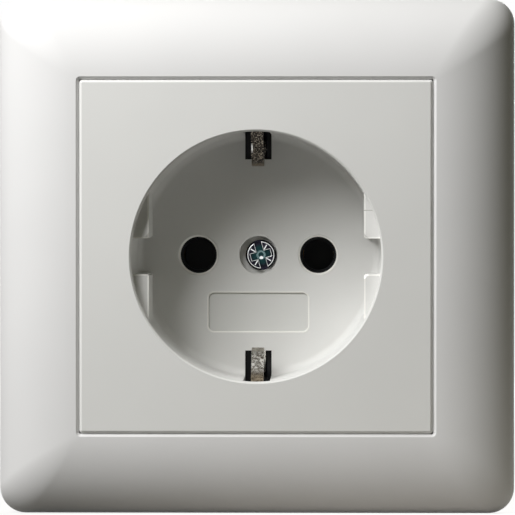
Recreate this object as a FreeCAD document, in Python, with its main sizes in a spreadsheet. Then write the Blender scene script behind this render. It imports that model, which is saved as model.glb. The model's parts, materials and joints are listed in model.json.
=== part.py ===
import FreeCAD, Part
import math
import os
import re

import Sketcher

# Flush wall socket with side earth contacts, in millimetres.
# X is to the right and Z is up, as one faces the socket. Y goes into the wall.
# The wall's surface, on which the support ring and the frame's foot lie, is at Y = 0.
# The origin is the middle of the four slots for the box screws.

SIZES = {
    # cover frame, a hollow cushion with a square opening
    "frame_side": 80.7,
    "frame_corner": 4.0,
    "frame_rise": 9.6,
    "frame_skirt": 2.0,
    "frame_wall": 1.8,
    "opening_side": 55.3,
    "opening_corner": 0.6,
    "opening_land": 0.5,
    "edge_bevel": 0.4,
    "collar_wall": 1.4,
    "collar_gap": 2.6,
    "lug_near": 9.0,
    "lug_far": 21.0,
    "ledge_wide": 2.0,
    "ledge_thick": 2.2,
    # centre plate with the well for the plug
    "plate_gap": 0.12,
    "plate_corner": 0.5,
    "plate_thick": 2.0,
    "rim_wall": 1.4,
    "rib_wall": 1.2,
    "rib_place": 12.0,
    "well_radius": 19.55,
    "well_depth": 17.5,
    "well_draft": 0.3,
    "well_wall": 1.3,
    "floor_thick": 1.8,
    "floor_fillet": 1.2,
    "lip_bevel": 0.25,
    "guide_half": 16.8,
    "guide_recess": 3.0,
    "guide_bevel": 0.4,
    "notch_wide": 5.6,
    "notch_bevel": 0.25,
    "earth_slot_wide": 4.2,
    "earth_slot_inner": 15.18,
    "label_wide": 15.8,
    "label_tall": 6.1,
    "label_corner": 0.9,
    "label_drop": 9.07,
    "label_deep": 0.35,
    "label_bevel": 0.12,
    # pins of the plug, and the holes for them
    "pin_spacing": 19.0,
    "pin_hole": 2.9,
    "pin_bevel": 0.35,
    "pin_passage": 2.45,
    "lead_bevel": 0.8,
    # centre screw, its seat and its threaded bush
    "screw_offset": 0.4,
    "screw_radius": 1.5,
    "screw_deep": 17.0,
    "head_radius": 2.4,
    "head_tall": 1.9,
    "head_round": 0.3,
    "head_well": 3.03,
    "head_seat": 2.2,
    "slot_wide": 0.9,
    "drive_wide": 1.1,
    "drive_deep": 0.9,
    "cross_reach": 1.6,
    "dimple_radius": 0.66,
    "dimple_deep": 0.4,
    "screw_hole": 2.1,
    "boss_radius": 4.3,
    "boss_tall": 1.7,
    "bush_radius": 2.6,
    "bush_flange": 3.1,
    "bush_gap": 0.05,
    "bush_deep": 4.6,
    "thread_gap": 0.05,
    # support ring and the slots for the box screws
    "ring_reveal": 4.85,
    "ring_corner": 6.0,
    "ring_thick": 1.0,
    "ring_gap": 0.6,
    "ring_notch": 1.5,
    "box_spacing": 60.0,
    "box_slot_wide": 3.5,
    "box_slot_long": 6.0,
    # rivets through the ring
    "rivet_place": 17.3,
    "rivet_radius": 1.2,
    "rivet_gap": 0.05,
    "rivet_head": 2.2,
    "rivet_head_tall": 0.9,
    "rivet_head_bevel": 0.3,
    "rivet_deep": 5.0,
    # moulded base that holds the live parts
    "base_gap": 0.2,
    "base_wide": 42.0,
    "base_tall": 46.0,
    "side_step": 1.3,
    "base_corner": 8.0,
    "base_deep": 12.1,
    "cup_gap": 0.25,
    "cup_wall": 1.2,
    "cup_root": 1.5,
    "ring_lug_radius": 3.0,
    "ring_lug_deep": 6.0,
    "lead_wall": 2.5,
    "chamber_wide": 8.4,
    "chamber_tall": 10.0,
    "channel_gap": 0.3,
    # earth strap with its two sprung bows
    "web_wide": 6.4,
    "web_thick": 1.0,
    "web_inset": 0.88,
    "bow_wide": 1.95,
    "bow_thick": 0.8,
    "bow_offset": 0.1,
    "bow_leg": 18.3,
    "bow_shoulder": 8.2,
    "bow_apex": 13.43,
    "bow_drop": 0.33,
    "bow_apex_deep": 1.0,
    "bow_tip": 20.2,
    "bow_tip_front": 6.2,
    "bow_bend": 1.2,
    "bow_shoulder_bend": 3.0,
    "bow_apex_bend": 4.5,
    # line and neutral contacts
    "leaf_thick": 0.6,
    "leaf_wide": 5.0,
    "leaf_out": 3.3,
    "leaf_knee": 18.0,
    "leaf_bend": 0.9,
    "grip_gap": 4.6,
    "grip_place": 15.2,
    "flare": 0.5,
    "mouth_place": 13.2,
    "tab_thick": 0.8,
    "tab_wide": 7.2,
    "tab_in": 5.2,
    "tab_flange": 6.0,
    "tab_hole": 2.9,
    "tab_rim": 1.0,
    "clip_gap": 0.15,
    "clip_thick": 0.4,
    "clip_high": 1.2,
    # screwless terminals
    "wire_in": 8.1,
    "wire_spacing": 4.4,
    "wire_hole": 1.6,
    "spring_thick": 0.4,
    "spring_wide": 6.2,
    "spring_slit": 0.8,
    "spring_foot_in": 14.8,
    "spring_crown_in": 12.4,
    "spring_high": 5.0,
    "spring_tip_in": 6.7,
    "spring_tip_high": 2.0,
    "spring_bend": 0.9,
    "pusher_in": 12.6,
    "pusher_wide": 6.0,
    "pusher_tall": 2.6,
    "pusher_gap": 0.1,
    "pusher_proud": 1.2,
    "pusher_collar": 0.5,
    "pusher_collar_thick": 1.4,
    "pusher_play": 0.2,
    "pusher_bevel": 0.3,
    # rear cover
    "cover_deep": 10.0,
    "cover_wall": 1.6,
    "cover_bevel": 0.8,
    "divider_wall": 1.2,
    "divider_in": 17.0,
    "divider_gap": 0.2,
    "post_radius": 2.6,
    "cover_screw_in_x": 4.0,
    "cover_screw_in_z": 5.0,
    "cover_screw_radius": 1.0,
    "cover_screw_head": 1.9,
    "cover_screw_head_tall": 1.2,
    "cover_screw_gap": 0.1,
    "cover_screw_deep": 6.0,
    # spreading claws, hung on trunnions beside the ring
    "claw_thick": 1.2,
    "claw_wide": 9.0,
    "claw_pivot_deep": 1.4,
    "arm_out": 5.2,
    "claw_knee": 4.4,
    "claw_arm_end": 15.5,
    "tip_out": 6.4,
    "claw_tip_end": 17.2,
    "claw_bend": 1.4,
    "claw_tooth": 1.6,
    "trunnion_radius": 0.8,
    "trunnion_reach": 1.9,
    "trunnion_gap": 0.05,
    "ear_root": 1.4,
    "ear_out": 1.4,
    "ear_deep": 2.9,
    "ear_gap": 0.4,
    "ear_wall": 2.0,
    "claw_screw_out": 2.4,
    "claw_screw_radius": 1.45,
    "claw_screw_gap": 0.15,
    "claw_screw_deep": 19.0,
    "claw_head": 2.3,
    "claw_head_tall": 1.5,
    "claw_head_bevel": 0.4,
    "claw_slot_play": 0.25,
    "claw_slot_in": 0.5,
    "claw_slot_out": 4.4,
}

# Places that follow from the sizes. Those along Y are measured from the wall's surface.
PLACES = {
    "front": "-frame_rise",
    "plate_back": "front + plate_thick",
    "ring_side": "frame_side - ring_reveal * 2",
    "ring_front": "-ring_thick",
    "collar_back": "ring_front - collar_gap",
    "ledge_front": "ring_front - ledge_thick",
    "opening_half": "opening_side / 2",
    "cushion_wide": "(frame_side - opening_side) / 2",
    "cushion_tall": "frame_rise - frame_skirt",
    "plate_half": "opening_half - plate_gap",
    "floor_face": "well_depth - frame_rise",
    "floor_back": "floor_face + floor_thick",
    "well_outer": "well_radius + well_wall",
    "boss_back": "floor_back + boss_tall",
    "seat_face": "floor_face + head_seat",
    "pin_x": "pin_spacing / 2",
    "base_front": "floor_back + base_gap",
    "base_back": "base_front + base_deep",
    "cup_inner": "well_outer + cup_gap",
    "cup_outer": "cup_inner + cup_wall",
    "base_end": "base_tall / 2",
    "boss_pocket": "boss_back + base_gap",
    "web_front": "boss_pocket + web_thick",
    "web_back": "web_front + web_thick",
    "web_half": "web_wide / 2",
    "web_reach": "earth_slot_inner - web_inset",
    "channel_half": "web_half + channel_gap",
    "channel_reach": "web_reach + channel_gap",
    "channel_end": "bow_leg + bow_thick / 2 + channel_gap * 3",
    "bow_left": "bow_offset - bow_wide / 2",
    "bow_right": "bow_offset + bow_wide / 2",
    "bow_line": "web_back - bow_thick / 2",
    "chamber_front": "base_front + lead_wall",
    "leaf_web": "base_back - tab_thick / 2",
    "grip_half": "(grip_gap + leaf_thick) / 2",
    "mouth_half": "grip_half + flare",
    "tab_front": "base_back - tab_thick",
    "flange_back": "base_back + tab_flange",
    "cover_back": "base_back + cover_deep",
    "cover_floor": "cover_back - cover_wall",
    "collar_face": "cover_floor - pusher_play",
    "tab_end": "base_end - tab_in",
    "wire_place": "base_end - wire_in",
    "spring_foot": "base_end - spring_foot_in",
    "spring_crown": "base_end - spring_crown_in",
    "spring_tip": "base_end - spring_tip_in",
    "pusher_place": "base_end - pusher_in",
    "divider_place": "base_end - divider_in",
    "cover_screw_x": "base_wide / 2 - cover_screw_in_x",
    "cover_screw_z": "base_end - cover_screw_in_z",
    "side_face": "max(base_wide / 2 + side_step; cup_outer)",
    "claw_arm": "side_face + arm_out",
    "claw_tip": "side_face + tip_out",
    "claw_screw": "side_face + claw_screw_out",
    "claw_slot_near": "side_face + claw_slot_in",
    "claw_slot_far": "side_face + claw_slot_out",
    "ear_near": "cup_outer - ear_root",
    "ear_far": "cup_outer + ear_out",
    "claw_pivot": "(ear_near + ear_far) / 2",
    "claw_half": "claw_wide / 2",
    "ear_inner": "claw_half + ear_gap",
    "ear_outer": "ear_inner + ear_wall",
}

QUARTER = math.pi / 2
CUSHION_LEVELS = 10
# how near a point must be to a place to count as on it
TOUCH = 0.01
# share of a line from its corner at which a fillet takes hold of it
GRASP = 0.02
# share of a slot's width that each round end takes, just under a half
SLOT_ROUND = 0.499
SIDES = (-1, 1)

document = FreeCAD.newDocument("wall_socket")
sheet = document.addObject("Spreadsheet::Sheet", "Sizes")


def fill_sheet():
    """Write each driving size into the sheet, with its word as the alias of its cell."""
    for row, (word, size) in enumerate(SIZES.items(), start=1):
        sheet.set(f"A{row}", word)
        sheet.set(f"B{row}", str(size))
        sheet.setAlias(f"B{row}", word)
    document.recompute()


def formula(words):
    """Turn words such as "front + plate_thick" into an expression on the sheet's cells."""

    def cell(match):
        word = match.group(0)
        if word in PLACES:
            return f"({formula(PLACES[word])})"
        return f"Sizes.{word}" if word in SIZES else word

    return re.sub(r"[a-z]\w*", cell, words)


def value(words):
    """The present number of a formula."""
    return float(sheet.evalExpression(formula(words)))


def new_body(name):
    """A sub-part, whose name is also its label."""
    body = document.addObject("PartDesign::Body", name)
    body.Label = name
    body.AllowCompound = True
    body.Placement = FreeCAD.Placement()
    return body


def origin_feature(body, role):
    """One of the body's own origin planes or axes."""
    return next(item for item in body.Origin.OriginFeatures if item.Role == role)


def new_sketch(body, name, role, offset):
    """A sketch on an origin plane of the body, moved along the plane's normal."""
    sketch = body.newObject("Sketcher::SketchObject", name)
    sketch.AttachmentSupport = [(origin_feature(body, role), "")]
    sketch.MapMode = "FlatFace"
    sketch.setExpression("AttachmentOffset.Base.z", formula(offset))
    return sketch


def constrain(sketch, words, kind, *places):
    """A dimension of the sketch, bound to a formula."""
    index = sketch.addConstraint(Sketcher.Constraint(kind, *places, value(words)))
    sketch.setExpression(f"Constraints[{index}]", formula(words))


def pin_point(sketch, geometry, point, x, y):
    """Hold a point of the sketch at x and y from the sketch's origin."""
    constrain(sketch, x, "DistanceX", -1, 1, geometry, point)
    constrain(sketch, y, "DistanceY", -1, 1, geometry, point)


def add_lines(sketch, points):
    """Straight runs from each point to the next, joined at their ends."""
    first = sketch.GeometryCount
    corners = [FreeCAD.Vector(value(x), value(y), 0) for x, y in points]
    for start, end in zip(corners, corners[1:]):
        sketch.addGeometry(Part.LineSegment(start, end), False)
    for line in range(first, sketch.GeometryCount - 1):
        sketch.addConstraint(Sketcher.Constraint("Coincident", line, 2, line + 1, 1))
    return first, corners


def outline(*points):
    """A closed outline of straight runs."""

    def draw(sketch):
        first = add_lines(sketch, [*points, points[0]])[0]
        last = sketch.GeometryCount - 1
        sketch.addConstraint(Sketcher.Constraint("Coincident", last, 2, first, 1))
        for step, (x, y) in enumerate(points):
            pin_point(sketch, first + step, 1, x, y)

    return draw


def rectangle(left, low, right, high):
    """An upright rectangle."""
    return outline((left, low), (right, low), (right, high), (left, high))


def circle(x, y, radius):
    """A full circle."""

    def draw(sketch):
        centre = FreeCAD.Vector(value(x), value(y), 0)
        ring = Part.Circle(centre, FreeCAD.Vector(0, 0, 1), value(radius))
        index = sketch.addGeometry(ring, False)
        pin_point(sketch, index, 3, x, y)
        constrain(sketch, radius, "Radius", index)

    return draw


def rounded(left, low, right, high, corner):
    """An upright rectangle with four equal round corners."""

    def draw(sketch):
        x1, y1, x2, y2, r = (value(words) for words in (left, low, right, high, corner))
        first = sketch.GeometryCount
        sides = (
            ((x1 + r, y1), (x2 - r, y1)),
            ((x2, y1 + r), (x2, y2 - r)),
            ((x2 - r, y2), (x1 + r, y2)),
            ((x1, y2 - r), (x1, y1 + r)),
        )
        for start, end in sides:
            line = Part.LineSegment(FreeCAD.Vector(*start, 0), FreeCAD.Vector(*end, 0))
            sketch.addGeometry(line, False)
        middles = ((x2 - r, y1 + r), (x2 - r, y2 - r), (x1 + r, y2 - r), (x1 + r, y1 + r))
        for turn, middle in enumerate(middles):
            whole = Part.Circle(FreeCAD.Vector(*middle, 0), FreeCAD.Vector(0, 0, 1), r)
            start = (turn - 1) * QUARTER
            arc = Part.ArcOfCircle(whole, start, start + QUARTER)
            sketch.addGeometry(arc, False)
        for side in range(4):
            arc = first + 4 + side
            after = first + (side + 1) % 4
            sketch.addConstraint(Sketcher.Constraint("Tangent", first + side, 2, arc, 1))
            sketch.addConstraint(Sketcher.Constraint("Tangent", arc, 2, after, 1))
        for arc in range(first + 5, first + 8):
            sketch.addConstraint(Sketcher.Constraint("Equal", first + 4, arc))
        sketch.addConstraint(Sketcher.Constraint("Horizontal", first))
        sketch.addConstraint(Sketcher.Constraint("Vertical", first + 1))
        constrain(sketch, corner, "Radius", first + 4)
        constrain(sketch, low, "DistanceY", -1, 1, first, 1)
        constrain(sketch, right, "DistanceX", -1, 1, first + 1, 1)
        constrain(sketch, high, "DistanceY", -1, 1, first + 2, 1)
        constrain(sketch, left, "DistanceX", -1, 1, first + 3, 1)

    return draw


def rounded_square(half, corner):
    """A square about the origin with round corners."""
    return rounded(f"-({half})", f"-({half})", half, half, corner)


def draw_all(sketch, drawings):
    """Draw each outline in turn."""
    for draw in drawings:
        draw(sketch)


def pad(body, name, front, back, *drawings):
    """Material between two levels of depth, front first."""
    sketch = new_sketch(body, f"{name}_sketch", "XZ_Plane", f"-({back})")
    draw_all(sketch, drawings)
    feature = body.newObject("PartDesign::Pad", name)
    feature.Profile = sketch
    feature.setExpression("Length", formula(f"({back}) - ({front})"))
    document.recompute()
    return feature


def cut(body, name, front, back, *drawings):
    """A pocket between two levels of depth, front first."""
    sketch = new_sketch(body, f"{name}_sketch", "XZ_Plane", f"-({front})")
    draw_all(sketch, drawings)
    return finish_pocket(body, name, sketch, f"({back}) - ({front})")


def pad_across(body, name, role, low, high, *drawings):
    """Material between two levels along X (YZ_Plane) or along Z (XY_Plane)."""
    sketch = new_sketch(body, f"{name}_sketch", role, low)
    draw_all(sketch, drawings)
    feature = body.newObject("PartDesign::Pad", name)
    feature.Profile = sketch
    feature.setExpression("Length", formula(f"({high}) - ({low})"))
    document.recompute()
    return feature


def cut_across(body, name, role, low, high, *drawings):
    """A pocket between two levels along X (YZ_Plane) or along Z (XY_Plane)."""
    sketch = new_sketch(body, f"{name}_sketch", role, high)
    draw_all(sketch, drawings)
    return finish_pocket(body, name, sketch, f"({high}) - ({low})")


def finish_pocket(body, name, sketch, length):
    """Cut the sketch into the body, and make sure that material went."""
    before = body.Shape.Volume
    feature = body.newObject("PartDesign::Pocket", name)
    feature.Profile = sketch
    feature.setExpression("Length", formula(length))
    document.recompute()
    if not feature.Shape.Volume < before:
        raise RuntimeError(f"{name} cut nothing")
    return feature


def route(sketch, points, bends):
    """An open run through the points, with a round bend at each inner one."""
    first, corners = add_lines(sketch, points)
    for step, (x, y) in enumerate(points[:-1]):
        pin_point(sketch, first + step, 1, x, y)
    pin_point(sketch, first + len(points) - 2, 2, *points[-1])
    for step, bend in enumerate(bends):
        corner = corners[step + 1]
        before = corner + (corners[step] - corner) * GRASP
        after = corner + (corners[step + 2] - corner) * GRASP
        count = sketch.GeometryCount
        line = first + step
        sketch.fillet(line, line + 1, before, after, value(bend), True, True)
        arc = next(
            index
            for index in range(count, sketch.GeometryCount)
            if isinstance(sketch.Geometry[index], Part.ArcOfCircle)
        )
        constrain(sketch, bend, "Radius", arc)


def strip(body, name, role, offset, points, bends, section_role, section_offset, section):
    """A bent strip: a section that starts square to the first run of its route."""
    spine = new_sketch(body, f"{name}_route", role, offset)
    route(spine, points, bends)
    profile = new_sketch(body, f"{name}_section", section_role, section_offset)
    section(profile)
    feature = body.newObject("PartDesign::AdditivePipe", name)
    feature.Profile = profile
    feature.Spine = (spine, [])
    document.recompute()
    return feature


def edges_where(shape, test):
    """Names of the edges whose points all pass the test."""
    names = []
    for number, edge in enumerate(shape.Edges, start=1):
        middle = edge.valueAt((edge.FirstParameter + edge.LastParameter) / 2)
        points = [vertex.Point for vertex in edge.Vertexes] + [middle]
        if all(test(point) for point in points):
            names.append(f"Edge{number}")
    return names


def bevel(body, name, size, test):
    """A chamfer on the edges that pass the test."""
    base = body.Tip
    feature = body.newObject("PartDesign::Chamfer", name)
    feature.Base = (base, edges_where(base.Shape, test))
    feature.setExpression("Size", formula(size))
    document.recompute()
    return feature


def near(number, words):
    """Whether a number is the present value of a formula."""
    return abs(number - value(words)) < TOUCH


def radius_of(point, x="0", z="0"):
    """Distance of a point from a line along Y."""
    return math.hypot(point.x - value(x), point.z - value(z))


def cushion_level(step, inset):
    """Half side, corner and depth of one level of the frame's cushion."""
    last = f"acos(opening_land / (cushion_wide - {inset}))"
    angle = f"({last} * {step} / {CUSHION_LEVELS})"
    share = f"cos({angle})"
    half = f"opening_half + (cushion_wide - {inset}) * {share}"
    corner = f"opening_corner + (frame_corner - {inset} - opening_corner) * {share}"
    depth = f"-frame_skirt - (cushion_tall - {inset}) * sin({angle}) / sin({last})"
    return half, corner, depth


def cushion_sections(body, name, inset):
    """The levels of the cushion, from the skirt up to the land round the opening."""
    sections = []
    for step in range(CUSHION_LEVELS + 1):
        half, corner, depth = cushion_level(step, inset)
        sketch = new_sketch(body, f"{name}_{step}", "XZ_Plane", f"-({depth})")
        rounded_square(half, corner)(sketch)
        sections.append(sketch)
    document.recompute()
    return sections


def make_cover_frame():
    """The frame: a convex cushion on a low skirt, hollow behind, with a collar and four lugs."""
    body = new_body("cover_frame")
    pad(body, "skirt", "-frame_skirt", "0", rounded_square("frame_side / 2", "frame_corner"))
    outside = cushion_sections(body, "cushion_level", "0")
    cushion = body.newObject("PartDesign::AdditiveLoft", "cushion")
    cushion.Profile = outside[0]
    cushion.Sections = outside[1:]
    cushion.Ruled = True
    document.recompute()
    inner = rounded_square("frame_side / 2 - frame_wall", "frame_corner - frame_wall")
    cut(body, "foot_hollow", "-frame_skirt", "0", inner)
    inside = cushion_sections(body, "hollow_level", "frame_wall")
    hollow = body.newObject("PartDesign::SubtractiveLoft", "hollow")
    hollow.Profile = inside[0]
    hollow.Sections = inside[1:]
    hollow.Ruled = True
    document.recompute()
    collar = rounded_square("opening_half + collar_wall", "opening_corner + collar_wall")
    pad(body, "collar", "front + frame_wall / 2", "collar_back", collar)
    lugs = []
    for side in SIDES:
        for end in SIDES:
            near_x, far_x = f"{side} * lug_near", f"{side} * lug_far"
            inner_z, outer_z = f"{end} * opening_half", f"{end} * (opening_half + collar_wall)"
            lugs.append(rectangle(near_x, inner_z, far_x, outer_z))
    pad(body, "lugs", "collar_back", "ring_front", *lugs)
    opening = rounded_square("opening_half", "opening_corner")
    cut(body, "opening", "front", "collar_back", opening)
    ledges = []
    for side in SIDES:
        for end in SIDES:
            near_x, far_x = f"{side} * lug_near", f"{side} * lug_far"
            inner_z = f"{end} * (opening_half - ledge_wide)"
            outer_z = f"{end} * (opening_half + collar_wall / 2)"
            ledges.append(rectangle(near_x, inner_z, far_x, outer_z))
    pad(body, "ledges", "ledge_front", "ring_front", *ledges)
    limit = value("opening_half") + TOUCH
    bevel(
        body,
        "opening_bevel",
        "edge_bevel",
        lambda point: near(point.y, "front") and max(abs(point.x), abs(point.z)) < limit,
    )
    return body


def guide(side, end):
    """A flat block in the well's side: a chord, bevelled at the notch and closed by an arc."""

    def draw(sketch):
        root = "(well_radius + well_wall / 2)"
        notch = "(notch_wide / 2)"
        top = f"sqrt({root} * {root} - guide_half * guide_half)"
        far = f"sqrt({root} * {root} - {notch} * {notch})"
        points = (
            (f"{side} * guide_half", f"{end} * {top}"),
            (f"{side} * guide_half", f"{end} * ({notch} + notch_bevel)"),
            (f"{side} * (guide_half + notch_bevel)", f"{end} * {notch}"),
            (f"{side} * {far}", f"{end} * {notch}"),
        )
        first, corners = add_lines(sketch, points)
        constrain(sketch, points[0][0], "DistanceX", -1, 1, first, 1)
        pin_point(sketch, first + 1, 1, *points[1])
        pin_point(sketch, first + 2, 1, *points[2])
        constrain(sketch, points[3][1], "DistanceY", -1, 1, first + 2, 2)
        turns = [math.atan2(corner.y, corner.x) for corner in (corners[0], corners[3])]
        angles = sorted(turn % (2 * math.pi) for turn in turns)
        if angles[1] - angles[0] > math.pi:
            angles = [angles[1], angles[0] + 2 * math.pi]
        whole = Part.Circle(FreeCAD.Vector(0, 0, 0), FreeCAD.Vector(0, 0, 1), value(root))
        arc = sketch.addGeometry(Part.ArcOfCircle(whole, *angles), False)
        ends = (1, 2) if side * end < 0 else (2, 1)
        sketch.addConstraint(Sketcher.Constraint("Coincident", arc, ends[0], first, 1))
        sketch.addConstraint(Sketcher.Constraint("Coincident", arc, ends[1], first + 2, 2))
        sketch.addConstraint(Sketcher.Constraint("Coincident", arc, 3, -1, 1))
        constrain(sketch, root, "Radius", arc)

    return draw


def well_cavity(sketch):
    """Half section of the well: a drafted wall that meets the floor in a round fillet."""
    low_radius = "well_radius - well_draft"
    points = (
        ("0", "front"),
        ("0", "floor_face"),
        (low_radius, "floor_face"),
        ("well_radius", "front"),
    )
    first, corners = add_lines(sketch, [*points, points[0]])
    sketch.addConstraint(Sketcher.Constraint("Coincident", first + 3, 2, first, 1))
    for step, (x, y) in enumerate(points):
        pin_point(sketch, first + step, 1, x, y)
    corner = corners[2]
    before = corner + (corners[1] - corner) * GRASP
    after = corner + (corners[3] - corner) * GRASP
    count = sketch.GeometryCount
    sketch.fillet(first + 1, first + 2, before, after, value("floor_fillet"), True, True)
    arc = next(
        index
        for index in range(count, sketch.GeometryCount)
        if isinstance(sketch.Geometry[index], Part.ArcOfCircle)
    )
    constrain(sketch, "floor_fillet", "Radius", arc)


def make_centre_plate():
    """The centre plate, moulded in one with the well that takes the plug."""
    body = new_body("centre_plate")
    pad(body, "face", "front", "ledge_front", rounded_square("plate_half", "plate_corner"))
    hollow = rectangle(*[f"{sign} (plate_half - rim_wall)" for sign in ("-", "-", "", "")])
    cut(body, "back_hollow", "plate_back", "ledge_front", hollow)
    ribs = []
    for side in SIDES:
        near_x = f"{side} * rib_place - rib_wall / 2"
        far_x = f"{side} * rib_place + rib_wall / 2"
        ribs.append(rectangle(near_x, "-plate_half + rim_wall / 2", far_x, "plate_half - rim_wall / 2"))
    pad(body, "ribs", "plate_back", "ledge_front", *ribs)
    pad(body, "well_outside", "plate_back", "floor_back", circle("0", "0", "well_outer"))
    cavity = new_sketch(body, "well_section", "XY_Plane", "0")
    well_cavity(cavity)
    before = body.Shape.Volume
    well = body.newObject("PartDesign::Groove", "well")
    well.Profile = cavity
    well.ReferenceAxis = (origin_feature(body, "Y_Axis"), [""])
    well.Angle = 360
    document.recompute()
    if not well.Shape.Volume < before:
        raise RuntimeError("the well cut nothing")
    blocks = [guide(side, end) for side in SIDES for end in SIDES]
    pad(body, "side_guides", "front + guide_recess", "floor_back", *blocks)
    slots = []
    for end in SIDES:
        reach = (f"{end} * earth_slot_inner", f"{end} * (well_outer + cup_gap)")
        slots.append(rectangle("-earth_slot_wide / 2", reach[0], "earth_slot_wide / 2", reach[1]))
    cut(body, "earth_slots", "plate_back", "floor_back", *slots)
    pad(body, "boss", "floor_back - floor_thick / 2", "boss_back", circle("0", "0", "boss_radius"))
    cut(body, "head_well_cut", "floor_face", "seat_face", circle("0", "0", "head_well"))
    cut(body, "screw_hole_cut", "seat_face", "boss_back", circle("0", "0", "screw_hole"))
    holes = [circle(f"{side} * pin_x", "0", "pin_hole") for side in SIDES]
    cut(body, "pin_holes", "floor_face", "floor_back", *holes)
    label = rounded(
        "-label_wide / 2",
        "-label_drop - label_tall / 2",
        "label_wide / 2",
        "-label_drop + label_tall / 2",
        "label_corner",
    )
    cut(body, "label_recess", "floor_face", "floor_face + label_deep", label)
    bevel(
        body,
        "label_rim",
        "label_bevel",
        lambda point: near(point.y, "floor_face")
        and abs(point.x) < value("label_wide / 2") + TOUCH
        and abs(point.z + value("label_drop")) < value("label_tall / 2") + TOUCH,
    )
    bevel(
        body,
        "pin_bevels",
        "pin_bevel",
        lambda point: near(point.y, "floor_face")
        and min(radius_of(point, "pin_x"), radius_of(point, "-pin_x")) < value("pin_hole") + TOUCH,
    )
    bevel(
        body,
        "lip",
        "lip_bevel",
        lambda point: near(point.y, "front") and near(radius_of(point), "well_radius"),
    )
    outer = value("plate_half") - value("plate_corner")
    bevel(
        body,
        "plate_bevel",
        "edge_bevel",
        lambda point: near(point.y, "front") and max(abs(point.x), abs(point.z)) > outer,
    )
    bevel(
        body,
        "guide_bevels",
        "guide_bevel",
        lambda point: near(point.y, "front + guide_recess")
        and radius_of(point) < value("well_radius - well_draft / 2")
        and abs(point.x) < value("guide_half + notch_bevel") + TOUCH,
    )
    return body


def turned(body, name, points, x, z="0"):
    """A turned solid: half section points as radius and depth, about a line along Y."""
    sketch = new_sketch(body, f"{name}_section", "XY_Plane", z)
    outline(*[(f"{x} + {radius}", depth) for radius, depth in points])(sketch)
    axis = sketch.addGeometry(
        Part.LineSegment(
            FreeCAD.Vector(value(x), value(points[0][1]), 0),
            FreeCAD.Vector(value(x), value(points[-1][1]), 0),
        ),
        True,
    )
    pin_point(sketch, axis, 1, x, points[0][1])
    pin_point(sketch, axis, 2, x, points[-1][1])
    feature = body.newObject("PartDesign::Revolution", name)
    feature.Profile = sketch
    feature.ReferenceAxis = (sketch, ["Axis0"])
    feature.Angle = 360
    document.recompute()
    return feature


def make_centre_screw():
    """The screw that clamps plate and frame: a rounded head with a slot and a cross."""
    body = new_body("centre_screw")
    top = "seat_face - head_tall"
    section = (
        ("0", top),
        ("head_radius - head_round", top),
        ("head_radius", f"{top} + head_round"),
        ("head_radius", "seat_face"),
        ("screw_radius", "seat_face"),
        ("screw_radius", "screw_deep - screw_radius / 2"),
        ("screw_radius / 2", "screw_deep"),
        ("0", "screw_deep"),
    )
    turned(body, "screw", section, "screw_offset")
    half_slot = "drive_wide / 2"
    slot = rectangle(
        f"screw_offset - {half_slot}", "-head_radius", f"screw_offset + {half_slot}", "head_radius"
    )
    cut(body, "slot", top, f"{top} + drive_deep", slot)
    cross = rectangle(
        "screw_offset - cross_reach", f"-{half_slot}", "screw_offset + cross_reach", half_slot
    )
    cut(body, "cross", top, f"{top} + drive_deep", cross)
    dimple = circle("screw_offset", "0", "dimple_radius")
    cut(body, "dimple", f"{top} + drive_deep", f"{top} + drive_deep + dimple_deep", dimple)
    return body


def make_centre_bush():
    """The flanged bush in the earth strap, into which the centre screw is driven."""
    body = new_body("centre_bush")
    flange = circle("screw_offset", "0", "bush_flange")
    pad(body, "flange", "boss_pocket", "web_front", flange)
    barrel = circle("screw_offset", "0", "bush_radius")
    pad(body, "barrel", "web_front", "web_front + bush_deep", barrel)
    bore = circle("screw_offset", "0", "screw_radius + thread_gap")
    cut(body, "bore", "boss_pocket", "web_front + bush_deep", bore)
    return body


def slot_outline(x, z, long_x, long_z, wide):
    """A slot with round ends, long along X or along Z."""
    half_x, half_z = f"({long_x}) / 2", f"({long_z}) / 2"
    low, high = f"{z} - {half_z}", f"{z} + {half_z}"
    return rounded(f"{x} - {half_x}", low, f"{x} + {half_x}", high, f"{wide} * {SLOT_ROUND}")


def make_support_ring():
    """The steel ring that is screwed to the wall box and carries everything else."""
    body = new_body("support_ring")
    pad(body, "sheet", "ring_front", "0", rounded_square("ring_side / 2", "ring_corner"))
    cut(body, "bore", "ring_front", "0", circle("0", "0", "well_outer + ring_gap"))
    slots = []
    for side in SIDES:
        place = f"{side} * box_spacing / 2"
        slots.append(slot_outline(place, "0", "box_slot_long", "box_slot_wide", "box_slot_wide"))
        slots.append(slot_outline("0", place, "box_slot_wide", "box_slot_long", "box_slot_wide"))
    cut(body, "box_slots", "ring_front", "0", *slots)
    holes = [
        circle(f"{side} * rivet_place", f"{end} * rivet_place", "rivet_radius + rivet_gap")
        for side in SIDES
        for end in SIDES
    ]
    cut(body, "rivet_holes", "ring_front", "0", *holes)
    claws = [circle(f"{side} * claw_screw", "0", "claw_screw_radius + claw_screw_gap") for side in SIDES]
    cut(body, "claw_holes", "ring_front", "0", *claws)
    notches = []
    for side in SIDES:
        edge = f"{side} * ring_side / 2"
        for end in SIDES:
            notches.append(circle(edge, f"{end} * ring_side / 4", "ring_notch"))
            notches.append(circle(f"{end} * ring_side / 4", edge, "ring_notch"))
    cut(body, "edge_notches", "ring_front", "0", *notches)
    return body


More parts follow.
